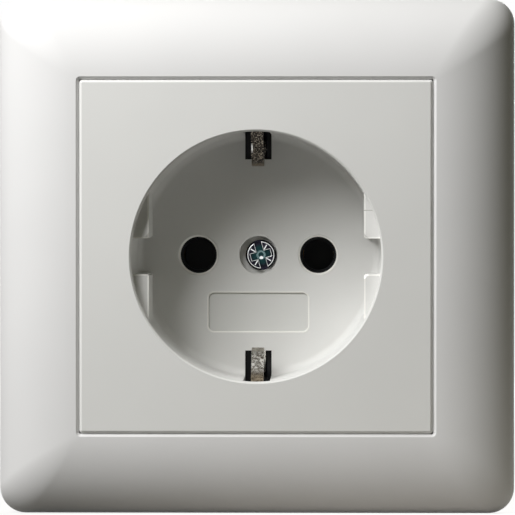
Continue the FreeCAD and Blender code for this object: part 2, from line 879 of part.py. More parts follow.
def make_ring_rivets():
    """Four rivets that hold the ring on the lugs of the base."""
    body = new_body("ring_rivets")
    places = [(f"{side} * rivet_place", f"{end} * rivet_place") for side in SIDES for end in SIDES]
    heads = [circle(x, z, "rivet_head") for x, z in places]
    shanks = [circle(x, z, "rivet_radius") for x, z in places]
    pad(body, "heads", "ring_front - rivet_head_tall", "ring_front", *heads)
    pad(body, "shanks", "ring_front", "rivet_deep", *shanks)
    bevel(
        body,
        "head_bevels",
        "rivet_head_bevel",
        lambda point: near(point.y, "ring_front - rivet_head_tall"),
    )
    return body


def make_socket_base():
    """The black base: a block with two contact chambers, and a cup round the well."""
    body = new_body("socket_base")
    block = rounded("-base_wide / 2", "-base_tall / 2", "base_wide / 2", "base_tall / 2", "base_corner")
    pad(body, "block", "base_front", "base_back", block)
    cup = (circle("0", "0", "cup_outer"), circle("0", "0", "cup_inner"))
    pad(body, "cup", "0", "base_front", *cup)
    pad(body, "cup_root_ring", "base_front", "base_front + cup_root", circle("0", "0", "cup_outer"))
    lugs = [
        circle(f"{side} * rivet_place", f"{end} * rivet_place", "ring_lug_radius")
        for side in SIDES
        for end in SIDES
    ]
    pad(body, "ring_lugs", "0", "ring_lug_deep", *lugs)
    windows = []
    for side in SIDES:
        reach = (f"{side} * (cup_inner - cup_wall * 2)", f"{side} * (cup_outer + cup_wall)")
        windows.append(rectangle(reach[0], "-ear_inner", reach[1], "ear_inner"))
    cut(body, "claw_windows", "0", "base_front", *windows)
    ears = []
    for side in SIDES:
        for end in SIDES:
            near_corner = (f"{side} * ear_near", f"{end} * ear_inner")
            far_corner = (f"{side} * ear_far", f"{end} * ear_outer")
            ears.append(rectangle(*near_corner, *far_corner))
    pad(body, "ears", "0", "ear_deep", *ears)
    seats = [
        circle(f"{side} * claw_pivot", "claw_pivot_deep", "trunnion_radius + trunnion_gap")
        for side in SIDES
    ]
    cut_across(body, "trunnion_seats", "XY_Plane", "-ear_outer", "ear_outer", *seats)
    shanks = [
        circle(f"{side} * rivet_place", f"{end} * rivet_place", "rivet_radius + rivet_gap")
        for side in SIDES
        for end in SIDES
    ]
    cut(body, "rivet_holes", "0", "rivet_deep + rivet_gap", *shanks)
    channel = rectangle("-channel_half", "-channel_reach", "channel_half", "channel_reach")
    cut(body, "web_channel", "base_front", "web_back", channel)
    narrow = ("bow_left - channel_gap", "bow_right + channel_gap")
    channel = rectangle(narrow[0], "-channel_end", narrow[1], "channel_end")
    cut(body, "bow_channel", "base_front", "web_back", channel)
    boss = circle("0", "0", "boss_radius + channel_gap")
    cut(body, "boss_seat", "base_front", "boss_pocket", boss)
    bush = circle("screw_offset", "0", "bush_radius + base_gap")
    cut(body, "bush_hole", "web_back", "web_front + bush_deep + base_gap", bush)
    tab_low = "tab_end - web_thick - channel_gap"
    neck = rectangle(narrow[0], tab_low, narrow[1], "tab_end + channel_gap")
    cut(body, "earth_neck_slot", "web_back", "base_back", neck)
    tab = rectangle("-channel_half", tab_low, "channel_half", "tab_end + channel_gap")
    cut(body, "earth_tab_recess", "tab_front - channel_gap", "base_back", tab)
    passages = [circle(f"{side} * pin_x", "0", "pin_passage") for side in SIDES]
    cut(body, "pin_passages", "base_front", "chamber_front", *passages)
    chambers, recesses = [], []
    for side in SIDES:
        left = f"{side} * pin_x - chamber_wide / 2"
        right = f"{side} * pin_x + chamber_wide / 2"
        chambers.append(rectangle(left, "-chamber_tall / 2", right, "chamber_tall / 2"))
        left = f"{side} * pin_x - tab_wide / 2 - channel_gap / 2"
        right = f"{side} * pin_x + tab_wide / 2 + channel_gap / 2"
        recesses.append(rectangle(left, "-tab_end - channel_gap / 2", right, "0"))
    cut(body, "contact_chambers", "chamber_front", "base_back", *chambers)
    cut(body, "tab_recesses", "tab_front", "base_back", *recesses)
    screws = [
        circle(f"{side} * cover_screw_x", f"{end} * cover_screw_z", "cover_screw_radius")
        for side in SIDES
        for end in SIDES
    ]
    cut(body, "cover_screw_holes", "base_back - cover_screw_deep", "base_back", *screws)
    bevel(
        body,
        "pin_leads",
        "lead_bevel",
        lambda point: near(point.y, "base_front")
        and min(radius_of(point, "pin_x"), radius_of(point, "-pin_x")) < value("pin_passage") + TOUCH,
    )
    return body


def make_earth_strap():
    """The earth strap: a web behind the well, two sprung bows, and a neck to its terminal tab."""
    body = new_body("earth_strap")
    web = rectangle("-web_half", "-web_reach", "web_half", "web_reach")
    pad(body, "web", "web_front", "web_back", web)
    neck = rectangle("bow_left", "web_reach - web_thick", "bow_right", "tab_end")
    pad(body, "web_neck", "web_front", "web_back", neck)
    tab_low = "tab_end - web_thick"
    narrow = rectangle("bow_left", tab_low, "bow_right", "tab_end")
    pad(body, "tab_neck", "web_front", "base_back", narrow)
    tab = rectangle("-web_half", tab_low, "web_half", "tab_end")
    pad(body, "terminal_tab", "tab_front", "flange_back", tab)
    bends = ("bow_bend", "bow_shoulder_bend", "bow_apex_bend")
    section_front = "bow_line - bow_thick / 2"
    section_back = "bow_line + bow_thick / 2"
    for name, end in (("lower_bow", -1), ("upper_bow", 1)):
        points = (
            ("bow_line", f"{end} * bow_leg / 2"),
            ("bow_line", f"{end} * bow_leg"),
            ("bow_shoulder", f"{end} * bow_leg"),
            ("bow_apex_deep", f"{end} * bow_apex - bow_drop"),
            ("-bow_tip_front", f"{end} * bow_tip"),
        )
        section = rectangle("bow_left", section_front, "bow_right", section_back)
        start = f"{end} * bow_leg / 2"
        strip(body, name, "YZ_Plane", "bow_offset", points, bends, "XY_Plane", start, section)
    hole = circle("screw_offset", "0", "bush_radius + bush_gap")
    cut(body, "bush_seat", "web_front", "web_back", hole)
    return body


def make_contact(name, side):
    """A live contact: two leaves that grip the pin, a tab and a flange for the wires."""
    body = new_body(name)
    middle = f"{side} * pin_x"
    left, right = f"{middle} - tab_wide / 2", f"{middle} + tab_wide / 2"
    pad(body, "tab", "tab_front", "base_back", rectangle(left, "-tab_end", right, "tab_hole + tab_rim"))
    flange = rectangle(left, "-tab_end", right, "-tab_end + tab_thick")
    pad(body, "wire_flange", "tab_front", "flange_back", flange)
    for word, turn in (("left_leaf", -1), ("right_leaf", 1)):
        out = f"{middle} + {turn} * leaf_out"
        start = f"{middle} + {turn} * leaf_out / 2"
        points = (
            (start, "leaf_web"),
            (out, "leaf_web"),
            (out, "leaf_knee"),
            (f"{middle} + {turn} * grip_half", "grip_place"),
            (f"{middle} + {turn} * mouth_half", "mouth_place"),
        )
        front, back = "leaf_web - leaf_thick / 2", "leaf_web + leaf_thick / 2"
        section = rectangle(front, "-leaf_wide / 2", back, "leaf_wide / 2")
        bends = ("leaf_bend", "leaf_bend", "leaf_bend")
        strip(body, word, "XY_Plane", "0", points, bends, "YZ_Plane", start, section)
    cut(body, "pin_way", "tab_front", "base_back", circle(middle, "0", "tab_hole"))
    return body


def make_grip_spring(name, side):
    """A steel band round the two leaves, which keeps their grip."""
    body = new_body(name)
    middle = f"{side} * pin_x"
    half_x = "grip_half + leaf_thick / 2 + clip_gap * 2"
    half_z = "leaf_wide / 2 + clip_gap"
    hole = rounded(
        f"{middle} - ({half_x})", f"-({half_z})", f"{middle} + {half_x}", half_z, "clip_thick"
    )
    band = rounded(
        f"{middle} - ({half_x}) - clip_thick",
        f"-({half_z}) - clip_thick",
        f"{middle} + {half_x} + clip_thick",
        f"{half_z} + clip_thick",
        "clip_thick * 2",
    )
    pad(body, "band", "grip_place - clip_high / 2", "grip_place + clip_high / 2", band, hole)
    return body


def make_clamp_spring(name, x, end):
    """The leaf spring of a terminal, slit so that each wire has a leaf of its own."""
    body = new_body(name)
    crown = "base_back + spring_high"
    points = (
        ("base_back", f"{end} * spring_foot"),
        (crown, f"{end} * spring_foot"),
        (crown, f"{end} * spring_crown"),
        ("base_back + spring_tip_high", f"{end} * spring_tip"),
    )
    left, right = f"{x} - spring_wide / 2", f"{x} + spring_wide / 2"
    near_z = f"{end} * spring_foot - spring_thick / 2"
    far_z = f"{end} * spring_foot + spring_thick / 2"
    section = rectangle(left, near_z, right, far_z)
    bends = ("spring_bend", "spring_bend")
    strip(body, "leaf", "YZ_Plane", x, points, bends, "XZ_Plane", "-base_back", section)
    slit = rectangle(
        f"{x} - spring_slit / 2",
        f"{end} * spring_crown",
        f"{x} + spring_slit / 2",
        f"{end} * (spring_tip + spring_bend)",
    )
    cut(body, "slit", "base_back", f"{crown} + spring_thick", slit)
    return body


def make_pusher(name, x, end):
    """A release pusher: pressed in with a screwdriver, it frees the wires of its terminal."""
    body = new_body(name)
    middle = f"{end} * pusher_place"
    half_x, half_z = "pusher_wide / 2", "pusher_tall / 2"
    stem = rectangle(
        f"{x} - {half_x}", f"{middle} - {half_z}", f"{x} + {half_x}", f"{middle} + {half_z}"
    )
    pad(body, "stem", "collar_face", "cover_back + pusher_proud", stem)
    collar = rectangle(
        f"{x} - {half_x} - pusher_collar",
        f"{middle} - {half_z} - pusher_collar",
        f"{x} + {half_x} + pusher_collar",
        f"{middle} + {half_z} + pusher_collar",
    )
    pad(body, "collar", "collar_face - pusher_collar_thick", "collar_face", collar)
    bevel(
        body,
        "end_bevel",
        "pusher_bevel",
        lambda point: near(point.y, "cover_back + pusher_proud"),
    )
    return body


TERMINALS = (("line", "pin_x", -1), ("neutral", "-pin_x", -1), ("earth", "0", 1))


def make_rear_cover():
    """The cover over the terminals, with two wire entries and a pusher for each pole."""
    body = new_body("rear_cover")
    half_x, half_z = "base_wide / 2", "base_tall / 2"
    block = rounded(f"-{half_x}", f"-{half_z}", half_x, half_z, "base_corner")
    pad(body, "shell", "base_back", "cover_back", block)
    inner_x, inner_z = f"({half_x} - cover_wall)", f"({half_z} - cover_wall)"
    hollow = rounded(f"-{inner_x}", f"-{inner_z}", inner_x, inner_z, "base_corner - cover_wall")
    cut(body, "hollow", "base_back", "cover_floor", hollow)
    places = [
        (f"{side} * cover_screw_x", f"{end} * cover_screw_z") for side in SIDES for end in SIDES
    ]
    posts = [circle(x, z, "post_radius") for x, z in places]
    pad(body, "posts", "base_back", "cover_floor", *posts)
    shelf = "base_back + divider_gap"
    upright = rectangle("-divider_wall / 2", f"-{inner_z}", "divider_wall / 2", "divider_place")
    pad(body, "upright_divider", shelf, "cover_floor", upright)
    shelf_low, shelf_high = "divider_place - divider_wall / 2", "divider_place + divider_wall / 2"
    level = rectangle(f"-{inner_x}", shelf_low, inner_x, shelf_high)
    pad(body, "level_divider", shelf, "cover_floor", level)
    holes = [circle(x, z, "cover_screw_radius + cover_screw_gap") for x, z in places]
    cut(body, "screw_holes", "base_back", "cover_back", *holes)
    heads = [circle(x, z, "cover_screw_head + cover_screw_gap") for x, z in places]
    cut(body, "head_seats", "cover_back - cover_screw_head_tall", "cover_back", *heads)
    wires, windows = [], []
    for _, x, end in TERMINALS:
        for step in SIDES:
            wires.append(circle(f"{x} + {step} * wire_spacing / 2", f"{end} * wire_place", "wire_hole"))
        wide, tall = "(pusher_wide / 2 + pusher_gap)", "(pusher_tall / 2 + pusher_gap)"
        middle = f"{end} * pusher_place"
        window = (f"{x} - {wide}", f"{middle} - {tall}", f"{x} + {wide}", f"{middle} + {tall}")
        windows.append(rectangle(*window))
    cut(body, "wire_entries", "cover_floor", "cover_back", *wires)
    cut(body, "pusher_windows", "cover_floor", "cover_back", *windows)
    bevel(
        body,
        "back_bevel",
        "cover_bevel",
        lambda point: near(point.y, "cover_back") and outside_block(point),
    )
    return body


def outside_block(point):
    """Whether a point lies on the outline of the base and its cover."""
    corner = value("base_corner")
    reach_x = abs(point.x) - (value("base_wide / 2") - corner)
    reach_z = abs(point.z) - (value("base_tall / 2") - corner)
    return abs(math.hypot(max(reach_x, 0), max(reach_z, 0)) - corner) < TOUCH


def make_cover_screws():
    """Four screws that hold the rear cover on the base."""
    body = new_body("cover_screws")
    places = [
        (f"{side} * cover_screw_x", f"{end} * cover_screw_z") for side in SIDES for end in SIDES
    ]
    shanks = [circle(x, z, "cover_screw_radius") for x, z in places]
    heads = [circle(x, z, "cover_screw_head") for x, z in places]
    seat = "cover_back - cover_screw_head_tall"
    pad(body, "shanks", "base_back - cover_screw_deep", seat, *shanks)
    pad(body, "heads", seat, "cover_back", *heads)
    return body


def make_claw(name, side):
    """A spreading claw: a foot on trunnions at the ring, an arm, and a toothed end."""
    body = new_body(name)
    half = "claw_thick / 2"
    arm = f"{side} * claw_arm"
    middle = "(claw_knee + claw_arm_end) / 2"
    near_x, far_x = f"{arm} - {half}", f"{arm} + {half}"
    section = rectangle(near_x, "-claw_half", far_x, "claw_half")
    foot = (
        (arm, middle),
        (arm, "claw_knee"),
        (f"{side} * claw_pivot", "claw_pivot_deep"),
    )
    strip(body, "foot", "XY_Plane", "0", foot, ("claw_bend",), "XZ_Plane", f"-{middle}", section)
    end = (
        (arm, middle),
        (arm, "claw_arm_end"),
        (f"{side} * claw_tip", "claw_tip_end"),
    )
    strip(body, "arm", "XY_Plane", "0", end, ("claw_bend",), "XZ_Plane", f"-{middle}", section)
    pivot = circle(f"{side} * claw_pivot", "claw_pivot_deep", "trunnion_radius")
    reach = "(claw_half + trunnion_reach)"
    pad_across(body, "trunnions", "XY_Plane", f"-{reach}", reach, pivot)
    half_slot = "(claw_screw_radius + claw_slot_play)"
    near_slot, far_slot = f"{side} * claw_slot_near", f"{side} * claw_slot_far"
    slot = rectangle(near_slot, f"-{half_slot}", far_slot, half_slot)
    cut(body, "screw_slot", "0", "claw_knee + claw_thick / 2", slot)
    teeth = []
    for step in (-1, 0, 1):
        z = f"{step} * claw_wide / 3"
        teeth.append(
            outline(
                (f"claw_tip_end + {half}", f"{z} - claw_tooth / 2"),
                (f"claw_tip_end + {half}", f"{z} + claw_tooth / 2"),
                (f"claw_tip_end - claw_tooth", z),
            )
        )
    reach = (f"{side} * (claw_arm - claw_thick)", f"{side} * (claw_tip + claw_thick)")
    low, high = sorted(reach, key=value)
    cut_across(body, "teeth", "YZ_Plane", low, high, *teeth)
    return body


def make_claw_screw(name, side):
    """The slotted screw that spreads a claw."""
    body = new_body(name)
    top = "ring_front - claw_head_tall"
    section = (
        ("0", top),
        ("claw_head - claw_head_bevel", top),
        ("claw_head", f"{top} + claw_head_bevel"),
        ("claw_head", "ring_front"),
        ("claw_screw_radius", "ring_front"),
        ("claw_screw_radius", "claw_screw_deep - claw_screw_radius / 2"),
        ("claw_screw_radius / 2", "claw_screw_deep"),
        ("0", "claw_screw_deep"),
    )
    turned(body, "screw", section, f"{side} * claw_screw")
    x = f"{side} * claw_screw"
    slot = rectangle(f"{x} - slot_wide / 2", "-claw_head", f"{x} + slot_wide / 2", "claw_head")
    cut(body, "slot", top, f"{top} + claw_head_tall / 2", slot)
    return body


def make_all():
    """Every sub-part, in the order in which the socket is put together."""
    parts = [make_cover_frame(), make_centre_plate(), make_centre_screw(), make_centre_bush()]
    parts += [make_support_ring(), make_ring_rivets(), make_socket_base(), make_earth_strap()]
    for word, side in (("line", 1), ("neutral", -1)):
        parts.append(make_contact(f"{word}_contact", side))
        parts.append(make_grip_spring(f"{word}_grip_spring", side))
    for word, x, end in TERMINALS:
        parts.append(make_clamp_spring(f"{word}_clamp_spring", x, end))
        parts.append(make_pusher(f"{word}_release_pusher", x, end))
    parts += [make_rear_cover(), make_cover_screws()]
    for word, side in (("left", -1), ("right", 1)):
        parts.append(make_claw(f"{word}_claw", side))
        parts.append(make_claw_screw(f"{word}_claw_screw", side))
    return parts


def check(parts):
    """Stop if any object of the document failed or any sub-part isn't a sound solid."""
    for item in document.Objects:
        if {"Invalid", "Error"} & set(item.State):
            raise RuntimeError(f"{item.Name} failed: {item.State}")
    for part in parts:
        shape = part.Shape
        if shape.isNull() or not shape.isValid() or not shape.Solids:
            raise RuntimeError(f"{part.Label} has no valid shape")
        if min(solid.Volume for solid in shape.Solids) <= 0:
            raise RuntimeError(f"{part.Label} has a solid that is inside out")


def write(parts):
    """One STEP file for each sub-part."""
    os.makedirs("parts", exist_ok=True)
    for part in parts:
        part.Shape.exportStep(f"parts/{part.Label}.step")
        box = part.Shape.BoundBox
        print(part.Label, len(part.Shape.Solids), round(part.Shape.Volume, 2), box)


fill_sheet()
sub_parts = make_all()
document.recompute()
check(sub_parts)
write(sub_parts)
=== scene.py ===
# %% [markdown]
# # A flush wall socket with side earth contacts
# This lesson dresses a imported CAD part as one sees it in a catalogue: a square white socket, straight from the front.
# The CAD model gives every place and size, in metres: X is to the right, Z is up and Y goes into the wall.
# What shows most gets a mesh of its own, and everything else keeps its CAD mesh and gets a finish.

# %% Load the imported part
import json
import math

import bmesh
import bpy
from mathutils import Matrix, Vector


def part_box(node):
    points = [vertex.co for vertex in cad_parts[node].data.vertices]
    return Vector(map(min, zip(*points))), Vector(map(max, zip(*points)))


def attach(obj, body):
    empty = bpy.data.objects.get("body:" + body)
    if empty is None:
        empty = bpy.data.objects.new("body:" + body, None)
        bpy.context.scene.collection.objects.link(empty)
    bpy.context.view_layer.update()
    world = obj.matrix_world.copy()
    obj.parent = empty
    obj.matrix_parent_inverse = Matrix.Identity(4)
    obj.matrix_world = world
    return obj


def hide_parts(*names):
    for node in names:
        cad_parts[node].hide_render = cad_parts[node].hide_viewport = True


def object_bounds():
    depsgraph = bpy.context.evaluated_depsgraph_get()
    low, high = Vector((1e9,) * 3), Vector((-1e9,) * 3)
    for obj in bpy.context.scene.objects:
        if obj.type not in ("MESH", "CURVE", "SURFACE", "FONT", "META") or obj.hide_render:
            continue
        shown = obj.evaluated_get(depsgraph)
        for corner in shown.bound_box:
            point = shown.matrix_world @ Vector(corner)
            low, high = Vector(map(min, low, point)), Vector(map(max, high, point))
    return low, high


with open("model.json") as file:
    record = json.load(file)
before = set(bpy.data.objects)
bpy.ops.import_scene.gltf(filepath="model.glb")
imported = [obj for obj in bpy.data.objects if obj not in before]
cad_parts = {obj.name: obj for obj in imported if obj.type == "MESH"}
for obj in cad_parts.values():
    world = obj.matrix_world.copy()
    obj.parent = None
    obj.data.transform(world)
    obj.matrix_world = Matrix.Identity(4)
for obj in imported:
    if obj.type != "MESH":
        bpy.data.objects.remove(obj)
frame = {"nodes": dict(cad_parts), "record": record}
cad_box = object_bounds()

MM = 0.001
nodes = frame["nodes"]
scene = bpy.context.scene
print("CAD nodes:", len(nodes), "box in mm:", [round(x / MM, 1) for corner in cad_box for x in corner])

# %% [markdown]
# ## Camera
# The photograph is taken from nearly straight ahead, a little from the right and from above: the well's floor sits
# a few pixels to the right of its rim. A long lens from 0.8 m keeps the sides of the well almost out of sight.
# The lens is worked out from the distance and from how many millimetres the picture is wide at the front face.

# %% Place the camera
EYE = Vector((17.5, -820.0, 13.0)) * MM
AIM = Vector((0.24, -9.6, -0.12)) * MM
VIEW_WIDE = 80.1 * MM
SENSOR = 36.0

camera_data = bpy.data.cameras.new("front_camera")
camera_data.sensor_width = SENSOR
camera_data.lens = SENSOR * (AIM - EYE).length / VIEW_WIDE
camera = bpy.data.objects.new("front_camera", camera_data)
camera.location = EYE
camera.rotation_euler = (AIM - EYE).to_track_quat("-Z", "Y").to_euler()
scene.collection.objects.link(camera)
scene.camera = camera
print("lens in mm:", round(camera_data.lens, 1))

# %% [markdown]
# ## Shader arithmetic
# The light, the floor and every finish are made of the same few nodes: arithmetic on values and on vectors, one
# range stretched to another, and a mix of two colours. Each function below adds one such node and links what feeds
# it, so later cells can say what they mean in a line. An input may be a socket or a plain value. A mask is a value
# from 0 to 1, and masks in millimetres on Object coordinates stay sharp at any zoom, unlike a painted texture.

# %% Write the node functions
WHITE = (1, 1, 1)


def feed(tree, value, socket):
    """Link a socket to an input, or set a plain value on it."""
    if isinstance(value, bpy.types.NodeSocket):
        tree.links.new(value, socket)
    elif value is not None:
        socket.default_value = value


def maths(tree, operation, first, second=None):
    """One operation on one or two values."""
    node = tree.nodes.new("ShaderNodeMath")
    node.operation = operation
    feed(tree, first, node.inputs[0])
    feed(tree, second, node.inputs[1])
    return node.outputs["Value"]


def vector_maths(tree, operation, first, second=None):
    """One operation on one or two vectors. A length or a distance gives a value."""
    node = tree.nodes.new("ShaderNodeVectorMath")
    node.operation = operation
    feed(tree, first, node.inputs[0])
    feed(tree, second, node.inputs[1])
    return node.outputs["Value" if operation in ("LENGTH", "DISTANCE") else "Vector"]


def map_range(tree, source, low, high, to_low=0.0, to_high=1.0, ease="LINEAR"):
    """A value stretched from one range to another and clamped."""
    node = tree.nodes.new("ShaderNodeMapRange")
    node.interpolation_type = ease
    node.inputs["From Min"].default_value = low
    node.inputs["From Max"].default_value = high
    node.inputs["To Min"].default_value = to_low
    node.inputs["To Max"].default_value = to_high
    feed(tree, source, node.inputs["Value"])
    return node.outputs["Result"]


def mix_colours(tree, mask, first, second):
    """A colour that goes from the first to the second with a mask. Each is a socket or red, green and blue."""
    node = tree.nodes.new("ShaderNodeMix")
    node.data_type = "RGBA"
    feed(tree, mask, node.inputs["Factor"])
    for colour, word in ((first, "A"), (second, "B")):
        feed(tree, colour if isinstance(colour, bpy.types.NodeSocket) else (*colour, 1), node.inputs[word])
    return node.outputs["Result"]


def multiply(tree, *masks):
    """The product of some masks."""
    product = masks[0]
    for mask in masks[1:]:
        product = maths(tree, "MULTIPLY", product, mask)
    return product


def ramp(tree, source, zero_at, one_at):
    """A mask that goes from 0 to 1 between two values in millimetres."""
    return map_range(tree, source, zero_at * MM, one_at * MM)


def band(tree, source, middle, half):
    """A mask of 1 at a value in millimetres that falls to 0 at some distance either side."""
    off = maths(tree, "ABSOLUTE", maths(tree, "SUBTRACT", source, middle * MM))
    return ramp(tree, off, half, half * 0.4)


def object_place(tree):
    """Object coordinates."""
    return tree.nodes.new("ShaderNodeTexCoord").outputs["Object"]


def split_parts(tree, vector):
    """The parts X, Y and Z of a vector."""
    parts = tree.nodes.new("ShaderNodeSeparateXYZ")
    feed(tree, vector, parts.inputs[0])
    return parts.outputs


print("node functions ready")

# %% [markdown]
# ## Light
# One big soft lamp hangs near the socket, up and to the left. Near, so the plate gets darker towards the lower
# right; big, so the shadow in the well has no hard edge. A weak lamp behind shows the back in other views and
# reaches nothing that faces the camera. The world adds a little warm light to diffuse surfaces, and is white to
# the camera and in reflections.

# %% Hang the lamps and set the world
AMBIENT = 0.05
AMBIENT_COLOUR = (1.0, 0.96, 0.4)


def add_lamp(name, place, side, strength):
    """A square area lamp at a place in millimetres, which faces the middle of the socket."""
    data = bpy.data.lights.new(name, "AREA")
    data.shape = "SQUARE"
    data.size = side * MM
    data.energy = strength
    lamp = bpy.data.objects.new(name, data)
    lamp.location = Vector(place) * MM
    lamp.rotation_euler = (-Vector(place)).to_track_quat("-Z", "Y").to_euler()
    scene.collection.objects.link(lamp)


def seen_directly(tree):
    """A value of 1 for camera, glossy and transmission rays, and 0 for the rest."""
    rays = tree.nodes.new("ShaderNodeLightPath").outputs
    seen = maths(tree, "MAXIMUM", rays["Is Camera Ray"], rays["Is Glossy Ray"])
    return maths(tree, "MAXIMUM", seen, rays["Is Transmission Ray"])


add_lamp("key_lamp", (-161, -171, 203), 217, 1.38)
add_lamp("back_lamp", (0, 500, 150), 300, 2.0)

scene.view_settings.view_transform = "Standard"
world = bpy.data.worlds.new("studio")
scene.world = world
world.use_nodes = True
tree = world.node_tree
background = tree.nodes["Background"]
shown = seen_directly(tree)
feed(tree, map_range(tree, shown, 0.0, 1.0, AMBIENT, 1.0), background.inputs["Strength"])
feed(tree, mix_colours(tree, shown, AMBIENT_COLOUR, WHITE), background.inputs["Color"])
print("lamps:", [light.name for light in bpy.data.lights])

# %% [markdown]
# ## Floor
# The socket stands on its lower edge on a plain floor that takes its shadow. For the camera the floor glows, a
# little less near the socket, and further off it is as white as the world, so no line shows where it ends. Only the
# camera and reflections see this glow. What the floor throws back on the socket is set by its own colour: dark, or
# the shadows would fill from below, with a pale patch to the lower right, because the photograph has some bounced
# light on that corner.

# %% Lay the floor
FLOOR_HALF = 3.0
PATCH_PLACE = Vector((44 * MM, 20 * MM, cad_box[0].z))
PATCH_NEAR, PATCH_FAR = 20, 110
PATCH_COLOUR, FLOOR_COLOUR = (0.42, 0.40, 0.37), (0.06, 0.06, 0.055)
GLOW_NEAR, GLOW_FAR, GLOW_LEAST = 0.10, 0.45, 0.85

bm = bmesh.new()
bmesh.ops.create_grid(bm, x_segments=1, y_segments=1, size=FLOOR_HALF)
bmesh.ops.translate(bm, vec=(0, 0, cad_box[0].z), verts=bm.verts)
floor_mesh = bpy.data.meshes.new("floor")
bm.to_mesh(floor_mesh)
bm.free()
floor = bpy.data.objects.new("floor", floor_mesh)
scene.collection.objects.link(floor)

floor_finish = bpy.data.materials.new("pale_floor")
floor_finish.use_nodes = True
tree = floor_finish.node_tree
shader = tree.nodes["Principled BSDF"]
shader.inputs["Roughness"].default_value = 0.9
shader.inputs["Specular IOR Level"].default_value = 0.0
shader.inputs["Emission Color"].default_value = (*WHITE, 1)
place = object_place(tree)
off_patch = map_range(
    tree, vector_maths(tree, "DISTANCE", place, PATCH_PLACE), PATCH_NEAR * MM, PATCH_FAR * MM, ease="SMOOTHSTEP"
)
feed(tree, mix_colours(tree, off_patch, PATCH_COLOUR, FLOOR_COLOUR), shader.inputs["Base Color"])
glow = map_range(
    tree, vector_maths(tree, "LENGTH", place), GLOW_NEAR, GLOW_FAR, GLOW_LEAST, 1.0, ease="SMOOTHSTEP"
)
feed(tree, multiply(tree, glow, seen_directly(tree)), shader.inputs["Emission Strength"])
floor.data.materials.append(floor_finish)
print("floor at mm:", round(cad_box[0].z / MM, 2))

# %% [markdown]
# ## Shared surface effects
# Moulded plastic and sheet metal are never quite even. Two small node groups are used by many finishes.
# `fine_grain` is the texture of the mould or the rolled sheet: a height for a Bump node, and a slow drift of tone.
# `tarnish` is for metal: a mask of dull patches, and a mask of fine rubbed marks.
# A group is built once, and every material sets its own values on it.

# %% Build the groups
GRAIN_SCALE, DRIFT_SCALE = 5000.0, 60.0
PATCH_SCALE, RUB_SCALE = 900.0, 2500.0
PATCH_RANGE, RUB_RANGE = (0.42, 0.62), (0.5, 0.66)


def new_group(name, inputs, outputs):
    """An empty shader group with float sockets, and its input and output nodes."""
    group = bpy.data.node_groups.new(name, "ShaderNodeTree")
    for word, standard in inputs.items():
        socket = group.interface.new_socket(word, in_out="INPUT", socket_type="NodeSocketFloat")
        socket.default_value = standard
    for word in outputs:
        group.interface.new_socket(word, in_out="OUTPUT", socket_type="NodeSocketFloat")
    return group, group.nodes.new("NodeGroupInput").outputs, group.nodes.new("NodeGroupOutput").inputs


def add_noise(tree, vector, scale, detail, roughness=0.5):
    """A noise texture on a vector, whose scale is a number or a socket."""
    noise = tree.nodes.new("ShaderNodeTexNoise")
    noise.inputs["Detail"].default_value = detail
    noise.inputs["Roughness"].default_value = roughness
    feed(tree, vector, noise.inputs["Vector"])
    feed(tree, scale, noise.inputs["Scale"])
    return noise.outputs["Fac"]


grain_group, given, results = new_group(
    "fine_grain", {"Grain Scale": GRAIN_SCALE, "Drift Scale": DRIFT_SCALE}, ("Height", "Drift")
)
place = object_place(grain_group)
feed(grain_group, add_noise(grain_group, place, given["Grain Scale"], 3), results["Height"])
feed(grain_group, add_noise(grain_group, place, given["Drift Scale"], 2), results["Drift"])

tarnish_group, given, results = new_group(
    "tarnish", {"Patch Scale": PATCH_SCALE, "Rub Scale": RUB_SCALE}, ("Patches", "Rubbed")
)
place = object_place(tarnish_group)
patches = add_noise(tarnish_group, place, given["Patch Scale"], 5, 0.62)
rubbed = add_noise(tarnish_group, place, given["Rub Scale"], 4, 0.7)
feed(tarnish_group, map_range(tarnish_group, patches, *PATCH_RANGE), results["Patches"])
feed(tarnish_group, map_range(tarnish_group, rubbed, *RUB_RANGE), results["Rubbed"])
print("groups:", [group.name for group in bpy.data.node_groups])

# %% [markdown]
# ## Finishes
# Two recipes make every finish of the socket. `plastic` is a satin moulding: one colour that drifts a little, a
# fine grain in the bump and a roughness that follows it. `metal` mixes a clean and a dull colour by the patches
# of the tarnish group, and the dull patches are rougher too. Even values, such as the gloss level, are set on the
# shader's own sockets, and only what changes over the surface is linked.

# %% Write the two recipes
DRIFT_RANGE, GRAIN_RANGE, ROUGH_SWING = (0.3, 0.7), (0.2, 0.8), 0.04


def new_finish(name):
    """A material with its Principled shader."""
    finish = bpy.data.materials.new(name)
    finish.use_nodes = True
    return finish, finish.node_tree, finish.node_tree.nodes["Principled BSDF"]


def add_group(tree, group, **values):
    """A group in a material, with its own values."""
    node = tree.nodes.new("ShaderNodeGroup")
    node.node_tree = group
    for word, value in values.items():
        node.inputs[word.replace("_", " ").title()].default_value = value
    return node.outputs


def add_bump(tree, shader, height, depth):
    """A bump of some depth in millimetres on the shader's normal."""
    bump = tree.nodes.new("ShaderNodeBump")
    bump.inputs["Strength"].default_value = 1.0
    bump.inputs["Distance"].default_value = depth * MM
    feed(tree, height, bump.inputs["Height"])
    feed(tree, bump.outputs["Normal"], shader.inputs["Normal"])


